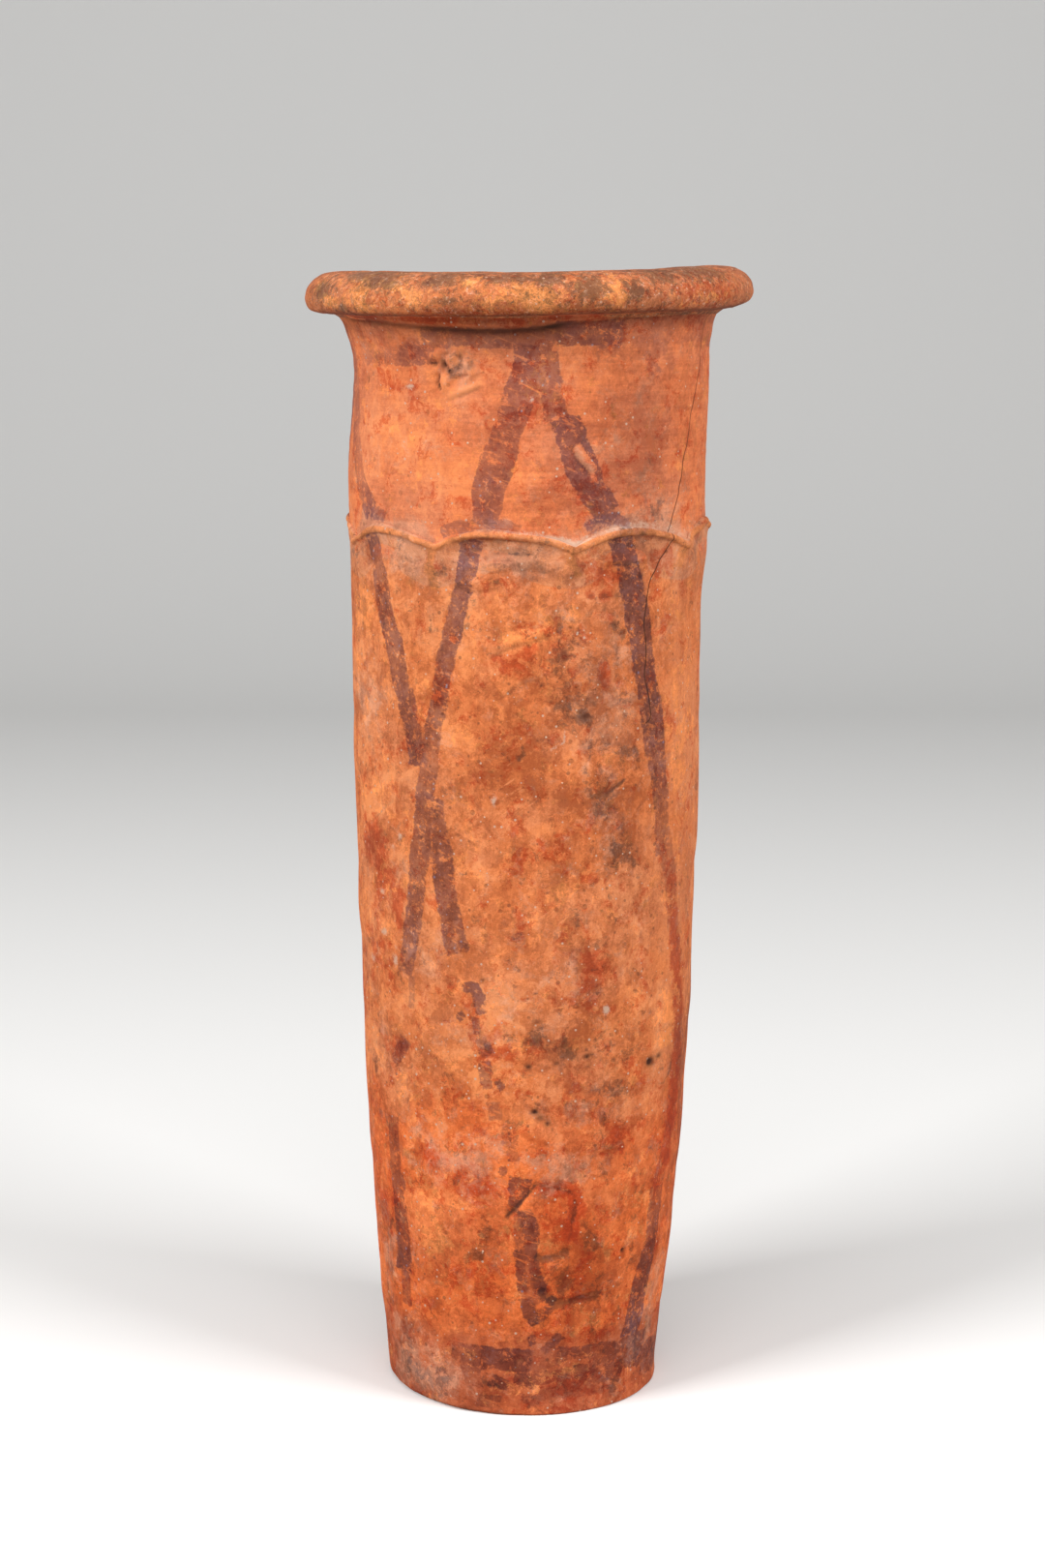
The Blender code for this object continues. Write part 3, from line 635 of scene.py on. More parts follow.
class FrameRuler:
    """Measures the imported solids: the wall's profile, its joints, its lean and the tilt of the rim."""

    COLUMN_REACH = 1.2 * MM
    CORE = 5.0 * MM
    FOOT_ROUND = 2.0 * MM

    def __init__(self) -> None:
        """Reads every member of the wall, and the rim."""
        outer, inner = [], []
        self.joints: dict[str, tuple[float, float, float, float]] = {}
        for node in WALL_NODES:
            column = self.column(node)
            middle = (column[:, 0].min() + column[:, 0].max()) / 2
            outside = column[column[:, 0] > middle]
            inside = column[column[:, 0] <= middle]
            self.joints[node] = (
                outside[:, 1].min(),
                outside[:, 1].max(),
                inside[:, 1].min(),
                inside[:, 1].max(),
            )
            outer.append(outside[outside[:, 1] > self.FOOT_ROUND * 0.9])
            inner.append(inside)
        stations = np.vstack(outer)
        stations = stations[np.argsort(stations[:, 1])]
        lining = np.vstack(inner)
        lining = lining[np.argsort(lining[:, 1])]
        keep = np.append(np.diff(lining[:, 1]) > 0.1 * MM, True)
        self.outer = SmoothCurve(stations[:, 1], stations[:, 0])
        self.inner = SmoothCurve(lining[keep, 1], lining[keep, 0])
        self.drift = SmoothCurve(stations[:, 1], stations[:, 2])
        self.seat = float(stations[-1, 1])
        self.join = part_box("collar")[0].z
        self.rim_section = self.column("rim_roll")
        self.read_rim()

    def vertices(self, node: str) -> Array:
        """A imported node's vertices as rows of x, y and z."""
        return read_points(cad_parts[node].data)

    def column(self, node: str) -> Array:
        """The vertices at the front of a node, as rows of radius, height and sideways drift.

        Args:
            node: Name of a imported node.

        Returns:
            The rows, each of them once.
        """
        points = self.vertices(node)
        middle = (points[:, 0].min() + points[:, 0].max()) / 2
        at_front = (np.abs(points[:, 0] - middle) < self.COLUMN_REACH) & (points[:, 1] < -self.CORE)
        front = points[at_front]
        rows = np.column_stack((-front[:, 1], front[:, 2], front[:, 0]))
        return np.unique(np.round(rows, 6), axis=0)

    def read_rim(self) -> None:
        """Finds the rim's tilt and sag from the heights of its nose at the front, left and right."""
        points = self.vertices("rim_roll")
        right = points[points[:, 0].argmax()]
        left = points[points[:, 0].argmin()]
        front = points[points[:, 1].argmin()]
        self.rim_radius = (right[0] - left[0]) / 2
        self.top = float(points[:, 2].max())
        share = ((front[2] - self.join) / (self.top - self.join)) ** 2
        self.tilt = (right[2] - left[2]) / 2 / share
        self.sag = ((right[2] + left[2]) / 2 - front[2]) / 2 / share

    def hand_formed(self, points: Array) -> Array:
        """Moves points of the true turned shape to where the potter's hand left them.

        Args:
            points: Rows of x, y and z of the turned shape.

        Returns:
            The rows with the jar's lean and the tilt and sag of its rim.
        """
        across = points[:, 0] / self.rim_radius
        along = points[:, 1] / self.rim_radius
        share = np.clip((points[:, 2] - self.join) / (self.top - self.join), 0.0, None) ** 2
        moved = points.copy()
        moved[:, 0] += self.drift(points[:, 2])
        moved[:, 2] += share * (self.tilt * across + self.sag * (across**2 - along**2))
        return moved


@dataclass(frozen=True)
class Arcade:
    """The wavy ridge: where its valleys lie round the jar, and how high its arches rise."""

    valleys: tuple[float, ...] = (-66.6, -28.2, 14.5, 58.7, 105.5, 152.5, 199.5, 246.5)
    crown_lean: float = 0.36
    valley_height: float = 217.0 * MM
    rise: float = 4.2 * MM

    def count(self) -> int:
        """Number of arches."""
        return len(self.valleys)

    def anchors(self) -> tuple[Array, Array]:
        """Angles of valleys and crowns as made by hand, and in an even arcade from the same start.

        Returns:
            Both lists, in radians.
        """
        ends = (*self.valleys, self.valleys[0] + 360.0)
        made, even = [], []
        for number, (start, end) in enumerate(zip(ends, ends[1:])):
            made += [start, start + (end - start) * self.crown_lean]
            even += [number * 360.0 / self.count(), (number + 0.5) * 360.0 / self.count()]
        made.append(ends[-1])
        even.append(360.0)
        return np.radians(np.array(made)), np.radians(np.array(even) + self.valleys[0])

    def by_hand(self, angle: Array) -> Array:
        """Takes angles on the even arcade to the angles where the hand set them.

        Args:
            angle: Angles in radians.

        Returns:
            The shifted angles.
        """
        made, even = self.anchors()
        start = even[0]
        turned = np.mod(angle - start, 2.0 * math.pi) + start
        return np.interp(turned, even, made)

    def share(self, angle: Array) -> Array:
        """Height share of the ridge at angles on the jar: 0 in a valley, 1 on a crown."""
        made, even = self.anchors()
        turned = np.mod(angle - made[0], 2.0 * math.pi) + made[0]
        return np.abs(np.sin(self.count() * (np.interp(turned, made, even) - even[0]) / 2.0))

    def crest(self, angle: Array) -> Array:
        """Height of the ridge's crest at angles on the jar."""
        return self.valley_height + self.rise * self.share(angle)


class Wheel:
    """The Geometry Nodes tree that turns a section round the jar's axis."""

    def __init__(self) -> None:
        """Builds the tree."""
        inputs = {
            "Section": GEOMETRY,
            "Columns": INTEGER,
            "Scallops": INTEGER,
            "First Valley": FLOAT,
            "Rise": FLOAT,
            "Press": FLOAT,
            "Weld": FLOAT,
            "Clay": MATERIAL,
        }
        self.tree = new_tree("turn_section", "GeometryNodeTree", inputs, {"Member": GEOMETRY})
        self.bench = Bench(self.tree)
        self.wire()

    def wire(self) -> None:
        """Links a grid to the section's points: columns run round the axis, rows along the section."""
        bench = self.bench
        given = bench.add("NodeGroupInput").outputs
        section = given["Section"]
        size = bench.add("GeometryNodeAttributeDomainSize", inputs={"Geometry": section})
        rows = size.outputs["Point Count"]
        grid = bench.add(
            "GeometryNodeMeshGrid",
            inputs={
                "Size X": 1.0,
                "Size Y": 1.0,
                "Vertices X": bench.plus(given["Columns"], 1.0),
                "Vertices Y": rows,
            },
        )
        place = bench.add("GeometryNodeInputPosition").outputs[0]
        flat = bench.add("ShaderNodeSeparateXYZ", inputs={"Vector": place}).outputs
        angle = bench.times(flat["X"], 2.0 * math.pi)
        row = bench.times(bench.plus(flat["Y"], 0.5), bench.minus(rows, 1.0))
        row = bench.math("ROUND", row)
        point = self.sample(section, place, row, "FLOAT_VECTOR")
        skin = self.sample(section, self.named("skin"), row, "FLOAT")
        lift = self.sample(section, self.named("lift"), row, "FLOAT")
        press = self.sample(section, self.named("press"), row, "FLOAT")
        half = bench.times(given["Scallops"], 0.5)
        phase = bench.times(bench.minus(angle, given["First Valley"]), half)
        arch = bench.math("ABSOLUTE", bench.math("SINE", phase))
        spot = bench.add("ShaderNodeSeparateXYZ", inputs={"Vector": point}).outputs
        hollow = bench.times(bench.times(press, given["Press"]), arch)
        radius = bench.minus(bench.times(spot["Y"], -1.0), hollow)
        climb = bench.times(bench.times(lift, given["Rise"]), arch)
        turned = bench.add(
            "ShaderNodeCombineXYZ",
            inputs={
                "X": bench.times(radius, bench.math("SINE", angle)),
                "Y": bench.times(bench.times(radius, bench.math("COSINE", angle)), -1.0),
                "Z": bench.plus(spot["Z"], climb),
            },
        )
        tag = {"Geometry": grid.outputs["Mesh"], "Name": "skin", "Value": skin}
        settings = {"data_type": "FLOAT", "domain": "POINT"}
        mesh = bench.add("GeometryNodeStoreNamedAttribute", settings, tag)
        steps = (
            ("GeometryNodeSetPosition", {"Position": turned.outputs[0]}),
            ("GeometryNodeMergeByDistance", {"Distance": given["Weld"]}),
        )
        for kind, inputs in steps:
            mesh = bench.add(kind, inputs={"Geometry": mesh.outputs[0], **inputs})
        bench.dress(mesh.outputs[0], given["Clay"], "Member")

    def named(self, name: str) -> Socket:
        """A float attribute of the section's points."""
        node = self.bench.add("GeometryNodeInputNamedAttribute", {"data_type": "FLOAT"}, {"Name": name})
        return node.outputs["Attribute"]

    def sample(self, section: Socket, value: Socket, row: Socket, kind: str) -> Socket:
        """The value that a point of the section has, for each vertex of the row that it makes.

        Args:
            section: The section's points.
            value: What is read from them.
            row: Number of the point.
            kind: Blender's name for the type of value.

        Returns:
            The value.
        """
        node = self.bench.add(
            "GeometryNodeSampleIndex",
            {"data_type": kind, "domain": "POINT", "clamp": True},
            {"Geometry": section, "Value": value, "Index": row},
        )
        return node.outputs["Value"]


class Bench:
    """Adds nodes to a tree and links them."""

    def __init__(self, tree: NodeTree) -> None:
        """Takes the tree to work on."""
        self.tree = tree

    def put(self, socket: Socket, value: Value) -> None:
        """Links a socket, or sets it where the value is a plain one.

        Args:
            socket: The input.
            value: A socket to link, or a plain value.
        """
        if isinstance(value, Socket):
            self.tree.links.new(value, socket)
        elif isinstance(socket.default_value, (int, float, str)) or isinstance(value, str):
            socket.default_value = value
        else:
            length = len(socket.default_value)
            socket.default_value = tuple(value) + (1.0,) * (length - len(value))

    def add(self, kind: str, settings: dict | None = None, inputs: dict | None = None) -> Node:
        """Adds a node.

        Args:
            kind: Blender's name for the node.
            settings: Properties of the node.
            inputs: Values or sockets for its inputs, by name or number.

        Returns:
            The node.
        """
        node = self.tree.nodes.new(kind)
        for name, value in (settings or {}).items():
            setattr(node, name, value)
        for key, value in (inputs or {}).items():
            if isinstance(key, int):
                self.put(node.inputs[key], value)
            else:
                self.put(next(s for s in node.inputs if s.name == key and s.enabled), value)
        return node

    def math(self, operation: str, first: Value, second: Value = 0.0) -> Socket:
        """A sum, product or other operation on two values."""
        return self.add("ShaderNodeMath", {"operation": operation}, {0: first, 1: second}).outputs[0]

    def times(self, first: Value, second: Value) -> Socket:
        """The product of two values."""
        return self.math("MULTIPLY", first, second)

    def plus(self, first: Value, second: Value) -> Socket:
        """The sum of two values."""
        return self.math("ADD", first, second)

    def minus(self, first: Value, second: Value) -> Socket:
        """The first value less the second."""
        return self.math("SUBTRACT", first, second)

    def ramp(self, value: Value, low: float, high: float, kind: str = "SMOOTHSTEP") -> Socket:
        """Rises from 0 to 1 as the value goes from low to high, smoothly or as the kind says."""
        ends = {"Value": value, "From Min": low, "From Max": high}
        return self.add("ShaderNodeMapRange", {"interpolation_type": kind}, ends).outputs[0]

    def span(self, value: Value, low: float, high: float) -> Socket:
        """Rises evenly from 0 to 1 as the value goes from low to high."""
        return self.ramp(value, low, high, "LINEAR")

    def scaled(self, value: Value, gain: float, middle: float = 0.5, lift: float = 0.0) -> Socket:
        """How far a value lies from a middle, times a gain, above a lift."""
        away = self.math("SUBTRACT", value, middle)
        parts = {0: away, 1: gain, 2: lift}
        return self.add("ShaderNodeMath", {"operation": "MULTIPLY_ADD"}, parts).outputs[0]

    def mix(self, share: Value, first: Value, second: Value, blend: str = "MIX") -> Socket:
        """Mixes two colours.

        Args:
            share: How much the second colour counts.
            first: The colour below.
            second: The colour above.
            blend: Blender's name for the way of mixing.

        Returns:
            The mixed colour.
        """
        node = self.add(
            "ShaderNodeMix",
            {"data_type": "RGBA", "blend_type": blend, "clamp_factor": True},
            {0: share, 6: first, 7: second},
        )
        return node.outputs[2]

    def tint(self, colour: Value, by: Value) -> Socket:
        """A colour multiplied by another."""
        return self.mix(1.0, colour, by, "MULTIPLY")

    def noise(self, vector: Value, scale: float, detail: float, roughness: float, output: int = 0) -> Socket:
        """Fractal noise from 0 to 1, or three of them as a colour from output 1."""
        values = {"Vector": vector, "Scale": scale, "Detail": detail, "Roughness": roughness}
        return self.add("ShaderNodeTexNoise", inputs=values).outputs[output]

    def vector(self, operation: str, first: Value, second: Value) -> Socket:
        """An operation on two vectors, part by part."""
        return self.add("ShaderNodeVectorMath", {"operation": operation}, {0: first, 1: second}).outputs[0]

    def stretch(self, vector: Value, scale: Value) -> Socket:
        """Multiplies a vector, part by part."""
        return self.vector("MULTIPLY", vector, scale)

    def shift(self, vector: Value, step: float) -> Socket:
        """Moves a vector by the same step in x, y and z, to reach another part of a noise."""
        return self.vector("ADD", vector, (step, step, step))

    def attribute(self, name: str) -> Socket:
        """A float attribute of the piece's vertices, in a material."""
        return self.add("ShaderNodeAttribute", {"attribute_name": name}).outputs["Fac"]

    def place(self) -> Socket:
        """The place of a point on the piece, in a material."""
        return self.add("ShaderNodeTexCoord").outputs["Object"]

    def dress(self, geometry: Socket, material: Socket, output: str) -> None:
        """Ends a geometry tree: instances made real, their material set, and the result put out.

        Args:
            geometry: What the tree made.
            material: Its finish.
            output: Name of the tree's output.
        """
        real = self.add("GeometryNodeRealizeInstances", inputs={"Geometry": geometry})
        inputs = {"Geometry": real.outputs[0], "Material": material}
        dressed = self.add("GeometryNodeSetMaterial", inputs=inputs)
        self.add("NodeGroupOutput", inputs={output: dressed.outputs[0]})

    def group(self, tree: NodeTree, inputs: dict[str, Value]) -> Node:
        """Places a shader node group with its inputs."""
        return self.add("ShaderNodeGroup", {"node_tree": tree}, inputs)


def new_tree(name: str, kind: str, inputs: dict[str, str], outputs: dict[str, str]) -> NodeTree:
    """Starts a node tree with its sockets.

    Args:
        name: Name of the tree.
        kind: Blender's name for the kind of tree.
        inputs: Socket types by name.
        outputs: Socket types by name.

    Returns:
        The tree, empty but for its sockets.
    """
    tree = bpy.data.node_groups.new(name, kind)
    for side, sockets in (("INPUT", inputs), ("OUTPUT", outputs)):
        for title, socket_type in sockets.items():
            tree.interface.new_socket(title, in_out=side, socket_type=socket_type)
    return tree


def bare_material(name: str) -> Material:
    """A material with no nodes yet.

    Args:
        name: Name of the material.

    Returns:
        The material.
    """
    material = bpy.data.materials.new(name)
    material.use_nodes = True
    material.node_tree.nodes.clear()
    return material


def label(name: str) -> str:
    """The name that a size field has as a socket of a node tree."""
    return name.replace("_", " ").title()


def put_in_scene(name: str, data: ID) -> Object:
    """Makes an object and links it to the scene."""
    made = bpy.data.objects.new(name, data)
    bpy.context.scene.collection.objects.link(made)
    return made


class Glazes:
    """The shader node groups that the clay finishes share."""

    FLECK: Colour = (0.16, 0.05, 0.025)

    def __init__(self) -> None:
        """Builds every group once."""
        self.mottle = self.build_mottle()
        self.paint = self.build_paint()
        self.grain = self.build_grain()

    def build_mottle(self) -> NodeTree:
        """Fired clay: a tone that wanders from burnt to pale at every scale, with stains laid over it.

        Returns:
            The group.
        """
        sockets = {label(name): COLOUR for name in MOTTLE_COLOURS}
        sockets |= {label(name): FLOAT for name in MOTTLE_AMOUNTS}
        tree = new_tree("fired_mottle", SHADING, {**sockets, "Streak": VECTOR}, {"Color": COLOUR})
        bench = Bench(tree)
        given = bench.add("NodeGroupInput").outputs
        place = bench.place()
        bent = self.bend(bench, place)
        broad = bench.scaled(bench.noise(bent, 34.0, 3.0, 0.60), 0.8)
        shade = bench.minus(bench.attribute(Mark.PALE.value), bench.attribute(Mark.BURNT_AND_SHADE.value))
        shade = bench.times(shade, 0.42)
        rough = bench.ramp(bench.attribute(Mark.CALM.value), 1.4, -0.2)
        rough = bench.times(rough, given["Patchiness"])
        patch = bench.ramp(bench.noise(bench.shift(bent, 3.1), 92.0, 9.0, 0.70), 0.42, 0.58)
        patch = bench.times(bench.scaled(patch, 0.36), rough)
        chip = bench.ramp(bench.noise(bench.shift(bent, 5.9), 230.0, 6.0, 0.72), 0.45, 0.55)
        chip = bench.times(bench.scaled(chip, 0.33), rough)
        sand = bench.scaled(bench.noise(place, 760.0, 4.0, 0.95), 1.3)
        sand = bench.times(sand, given["Graininess"])
        streak = bench.scaled(bench.noise(bench.stretch(place, given["Streak"]), 300.0, 6.0, 0.78), 0.9)
        tone = bench.plus(0.5, broad)
        for part in (shade, patch, chip, sand, streak):
            tone = bench.plus(tone, part)
        low = bench.span(tone, 0.0, 0.5)
        high = bench.span(tone, 0.5, 1.0)
        colour = bench.mix(high, bench.mix(low, given["Burnt"], given["Clay"]), given["Pale"])
        hue = bench.ramp(bench.noise(bench.shift(bent, 8.3), 48.0, 8.0, 0.72), 0.40, 0.60)
        colour = bench.tint(colour, bench.mix(hue, (1.04, 0.97, 0.84), (0.98, 1.02, 1.10)))
        scuffs = bench.times(self.scratches(bench, place, -38.0, 640.0), bench.ramp(patch, 0.0, 0.2))
        colour = bench.mix(bench.times(scuffs, 0.6), colour, given["Pale"])
        height = bench.add("ShaderNodeSeparateXYZ", inputs={"Vector": bent}).outputs["Z"]
        for tint, shake, top, full in (("Foot Tint", 0.03, 0.078, 0.052), ("Base Tint", 0.006, 0.022, 0.015)):
            near = bench.ramp(bench.plus(height, bench.scaled(patch, shake)), top, full)
            colour = bench.mix(near, colour, bench.tint(colour, given[tint]))
        lit = bench.scaled(tone, 1.0, 0.5, 1.0)
        fineness = dict.fromkeys(range(3), given["Fineness"])
        torn = bench.stretch(bent, bench.add("ShaderNodeCombineXYZ", inputs=fineness).outputs[0])
        # The rust mask also carries the painted shade in the hollow under the rim's nose
        rust = self.stain(bench, bench.shift(torn, 7.7), Mark.RUST_AND_SHADE, 170.0, (0.52, 0.62))
        colour = bench.mix(rust, colour, bench.tint(colour, given["Rust"]))
        ochre = self.stain(bench, bench.shift(torn, 11.7), Mark.OCHRE, 190.0, (0.55, 0.62))
        colour = bench.mix(bench.times(ochre, 0.80), colour, bench.tint(given["Ochre"], lit))
        dust = self.stain(bench, bench.shift(torn, 14.3), Mark.DUST, 170.0, (0.52, 0.72))
        colour = bench.mix(bench.times(dust, 0.68), colour, bench.tint(given["Dust"], lit))
        soil = self.stain(bench, bench.shift(torn, 12.9), Mark.SOIL, 210.0, (0.55, 0.66), given["Soiling"])
        colour = bench.mix(soil, colour, bench.tint(colour, given["Soil"]))
        chalk = bench.plus(bench.attribute(Mark.CHALK.value), bench.scaled(sand, 1.6, 0.0))
        chalk = bench.times(bench.ramp(chalk, 0.25, 0.85), 0.80)
        specks = self.specks(bench, place, 620.0, 0.10, 0.60)
        chalk = bench.math("MAXIMUM", chalk, bench.times(specks, given["Specks"]))
        colour = bench.mix(chalk, colour, given["Chalk"])
        flecks = self.specks(bench, bench.shift(place, 1.3), 430.0, 0.11, 0.66)
        flecks = bench.times(flecks, bench.times(given["Patchiness"], 0.55))
        colour = bench.mix(flecks, colour, self.FLECK)
        bench.add("NodeGroupOutput", inputs={"Color": colour})
        return tree

    def stain(
        self,
        bench: Bench,
        place: Socket,
        mark: Mark,
        scale: float,
        edge: tuple[float, float],
        more: Value = 0.0,
    ) -> Socket:
        """A mask of torn patches, which crowd together where the piece carries a mark.

        Args:
            bench: Where the nodes go.
            place: Coordinates of the noise.
            mark: The stain whose attribute is read.
            scale: Patches in a metre.
            edge: Values of the noise at which a patch begins and is full.
            more: How much of the stain lies everywhere.

        Returns:
            The mask, from 0 to 1.
        """
        pull = bench.times(bench.plus(bench.attribute(mark.value), more), 0.17)
        return bench.ramp(bench.plus(bench.noise(place, scale, 9.0, 0.80), pull), *edge)

    def bend(self, bench: Bench, place: Socket) -> Socket:
        """Shakes the coordinates by a few millimetres, so that patches get torn outlines."""
        shake = bench.noise(place, 150.0, 4.0, 0.7, 1)
        centred = bench.vector("SUBTRACT", shake, (0.5, 0.5, 0.5))
        return bench.vector("ADD", place, bench.stretch(centred, (0.007, 0.007, 0.007)))

    def scratches(self, bench: Bench, place: Socket, lean: float, scale: float) -> Socket:
        """Fine broken lines that lean from the level by some degrees, as seen from the front.

        Args:
            bench: Where the nodes go.
            place: Coordinates of the pattern.
            lean: Degrees from the level.
            scale: Lines in a metre.

        Returns:
            The mask.
        """
        slant = bench.add("ShaderNodeMapping", inputs={"Vector": place})
        slant.inputs["Rotation"].default_value = (0.0, math.radians(-lean), 0.0)
        drawn = bench.stretch(slant.outputs[0], (0.09, 1.0, 1.0))
        return bench.ramp(bench.noise(drawn, scale, 3.0, 0.60), 0.60, 0.68)

    def specks(self, bench: Bench, place: Socket, scale: float, size: float, rarity: float) -> Socket:
        """Round specks in some of the cells of a jumbled grid.

        Args:
            bench: Where the nodes go.
            place: Coordinates of the pattern.
            scale: Cells in a metre.
            size: Size of a speck, as a share of its cell.
            rarity: Share of the cells that have none.

        Returns:
            The mask.
        """
        cells = bench.add("ShaderNodeTexVoronoi", inputs={"Vector": place, "Scale": scale}).outputs
        chance = bench.add("ShaderNodeSeparateColor", inputs={"Color": cells["Color"]}).outputs[0]
        reach = bench.times(bench.minus(chance, rarity), size / (1.0 - rarity) * 2.0)
        return bench.ramp(bench.minus(cells["Distance"], reach), 0.03, -0.03)

    def build_paint(self) -> NodeTree:
        """Worn brush paint: covers where the strokes lie, with ragged edges, flecks and scratches.

        Returns:
            The group.
        """
        tree = new_tree("net_paint", SHADING, {"Ragged": FLOAT}, {"Cover": FLOAT})
        bench = Bench(tree)
        given = bench.add("NodeGroupInput").outputs
        place = bench.place()
        edge = bench.noise(place, 260.0, 6.0, 0.76)
        inside = bench.times(bench.minus(edge, 0.5), given["Ragged"])
        inside = bench.ramp(bench.plus(bench.attribute("paint"), inside), -0.12, 0.22)
        wash = bench.scaled(bench.noise(bench.shift(place, 5.3), 120.0, 8.0, 0.82), 1.5)
        wash = bench.plus(bench.attribute("cover"), wash)
        kept = bench.math("MINIMUM", bench.math("MAXIMUM", wash, 0.0), 1.0)
        flakes = bench.ramp(bench.noise(bench.shift(place, 2.3), 560.0, 5.0, 0.76), 0.57, 0.61)
        worn = bench.math("MAXIMUM", flakes, self.scratches(bench, place, 24.0, 900.0))
        worn = bench.math("MAXIMUM", worn, self.scratches(bench, bench.shift(place, 4.4), 17.0, 520.0))
        worn = bench.times(worn, 0.80)
        kept = bench.times(kept, bench.minus(1.0, worn))
        bench.add("NodeGroupOutput", inputs={"Cover": bench.times(inside, kept)})
        return tree

    def build_grain(self) -> NodeTree:
        """Height of the clay's own grain, tool streaks and open pits, and a mask of the pits.

        Returns:
            The group.
        """
        inputs = {"Streak": VECTOR, "Pitting": FLOAT}
        tree = new_tree("clay_grain", SHADING, inputs, {"Height": FLOAT, "Pits": FLOAT})
        bench = Bench(tree)
        given = bench.add("NodeGroupInput").outputs
        place = bench.place()
        coarse = bench.noise(place, 330.0, 8.0, 0.86)
        streak = bench.noise(bench.stretch(place, given["Streak"]), 420.0, 4.0, 0.65)
        open_pore = self.specks(bench, bench.shift(place, 9.1), 300.0, 0.10, 0.66)
        open_pore = bench.times(open_pore, given["Pitting"])
        height = bench.plus(coarse, bench.times(streak, 0.30))
        height = bench.minus(height, bench.times(open_pore, 0.40))
        bench.add("NodeGroupOutput", inputs={"Height": height, "Pits": open_pore})
        return tree


@dataclass(frozen=True)
class ClayFinish:
    """A fired-clay finish. Colours are linear, and the streak gives how a tool dragged the surface."""

    name: str
    burnt: Colour = (0.400, 0.098, 0.031)
    clay: Colour = (0.655, 0.190, 0.066)
    pale: Colour = (0.850, 0.300, 0.115)
    foot_tint: Colour = (1.080, 0.800, 0.600)
    base_tint: Colour = (0.690, 0.690, 0.940)
    ochre: Colour = (0.800, 0.250, 0.072)
    rust: Colour = (0.800, 0.460, 0.370)
    soil: Colour = (0.470, 0.540, 0.680)
    dust: Colour = (0.570, 0.265, 0.160)
    chalk: Colour = (0.620, 0.425, 0.315)
    paint: Colour = (0.355, 0.370, 0.680)
    # The dark colour of the crack, the pits and the soot marks, painted shade among them
    crack: Colour = (0.070, 0.024, 0.014)
    streak: tuple[float, float, float] = (1.0, 1.0, 0.14)
    patchiness: float = 1.0
    graininess: float = 1.0
    fineness: float = 1.0
    soiling: float = 0.0
    specks: float = 0.8
    pitting: float = 0.8
    ragged: float = 3.2
    roughness: float = 0.80
    relief: float = 0.40 * MM
    bump: float = 0.9
    paint_smoothness: float = 0.06
    pit_roughness: float = 0.15
    sheen: float = 0.20

    def material(self, glazes: Glazes) -> Material:
        """Builds the material.

        Args:
            glazes: The shader groups that it places.

        Returns:
            The material, with the colours and amounts of this finish.
        """
        material = bare_material(self.name)
        bench = Bench(material.node_tree)
        shared = (*MOTTLE_COLOURS, *MOTTLE_AMOUNTS, "streak")
        mottle = bench.group(glazes.mottle, {label(name): getattr(self, name) for name in shared}).outputs[0]
        grain = bench.group(glazes.grain, {"Streak": self.streak, "Pitting": self.pitting})
        cover = bench.group(glazes.paint, {"Ragged": self.ragged}).outputs["Cover"]
        colour = bench.mix(cover, mottle, bench.tint(mottle, self.paint))
        # Dark colour over the crack, the open pits and the soot marks, which carry painted shade as well
        split = bench.ramp(bench.math("ABSOLUTE", bench.attribute("crack")), 0.24, 0.05)
        dark_and_shade = bench.math("MAXIMUM", split, bench.attribute(Mark.SOOT_AND_SHADE.value))
        dark_and_shade = bench.math("MAXIMUM", dark_and_shade, bench.times(grain.outputs["Pits"], 0.5))
        colour = bench.mix(bench.times(dark_and_shade, 0.88), colour, self.crack)
        height = bench.minus(grain.outputs["Height"], bench.times(split, 0.8))
        inputs = {"Strength": self.bump, "Distance": self.relief, "Height": height}
        bump = bench.add("ShaderNodeBump", inputs=inputs)
        roughness = bench.plus(bench.times(cover, -self.paint_smoothness), self.roughness)
        roughness = bench.plus(roughness, bench.times(dark_and_shade, self.pit_roughness))
        shader = bench.add(
            "ShaderNodeBsdfPrincipled",
            inputs={"Base Color": colour, "Roughness": roughness, "Normal": bump.outputs[0]},
        )
        shader.inputs["Specular IOR Level"].default_value = self.sheen
        bench.add("ShaderNodeOutputMaterial", inputs={"Surface": shader.outputs[0]})
        return material


WALL_FINISH = ClayFinish("scraped_clay")
COLLAR_FINISH = ClayFinish(
    "turned_clay",
    paint=(0.365, 0.375, 0.660),
    burnt=(0.430, 0.108, 0.044),
    clay=(0.700, 0.200, 0.080),
    pale=(0.880, 0.295, 0.112),
    streak=(0.10, 0.10, 1.8),
    patchiness=0.55,
    graininess=0.9,
    soiling=-0.5,
    pitting=0.5,
    relief=0.28 * MM,
)
BAND_FINISH = ClayFinish(
    "thumbed_clay",
    burnt=(0.380, 0.118, 0.056),
    clay=(0.640, 0.222, 0.096),
    pale=(0.800, 0.335, 0.165),
    ochre=(0.630, 0.205, 0.066),
    pitting=0.6,
)
RIM_FINISH = ClayFinish(
    "soiled_rim_clay",
    burnt=(0.300, 0.090, 0.038),
    clay=(0.490, 0.148, 0.056),
    pale=(0.650, 0.210, 0.077),
    ochre=(0.680, 0.235, 0.066),
    soil=(0.440, 0.560, 0.700),
    streak=(0.30, 0.30, 1.2),
    patchiness=0.80,
    graininess=1.85,
    fineness=3.0,
    soiling=0.30,
    specks=0.5,
    pitting=1.0,
    relief=0.26 * MM,
)
FOOT_FINISH = ClayFinish("foot_clay", paint=(0.355, 0.325, 0.480))


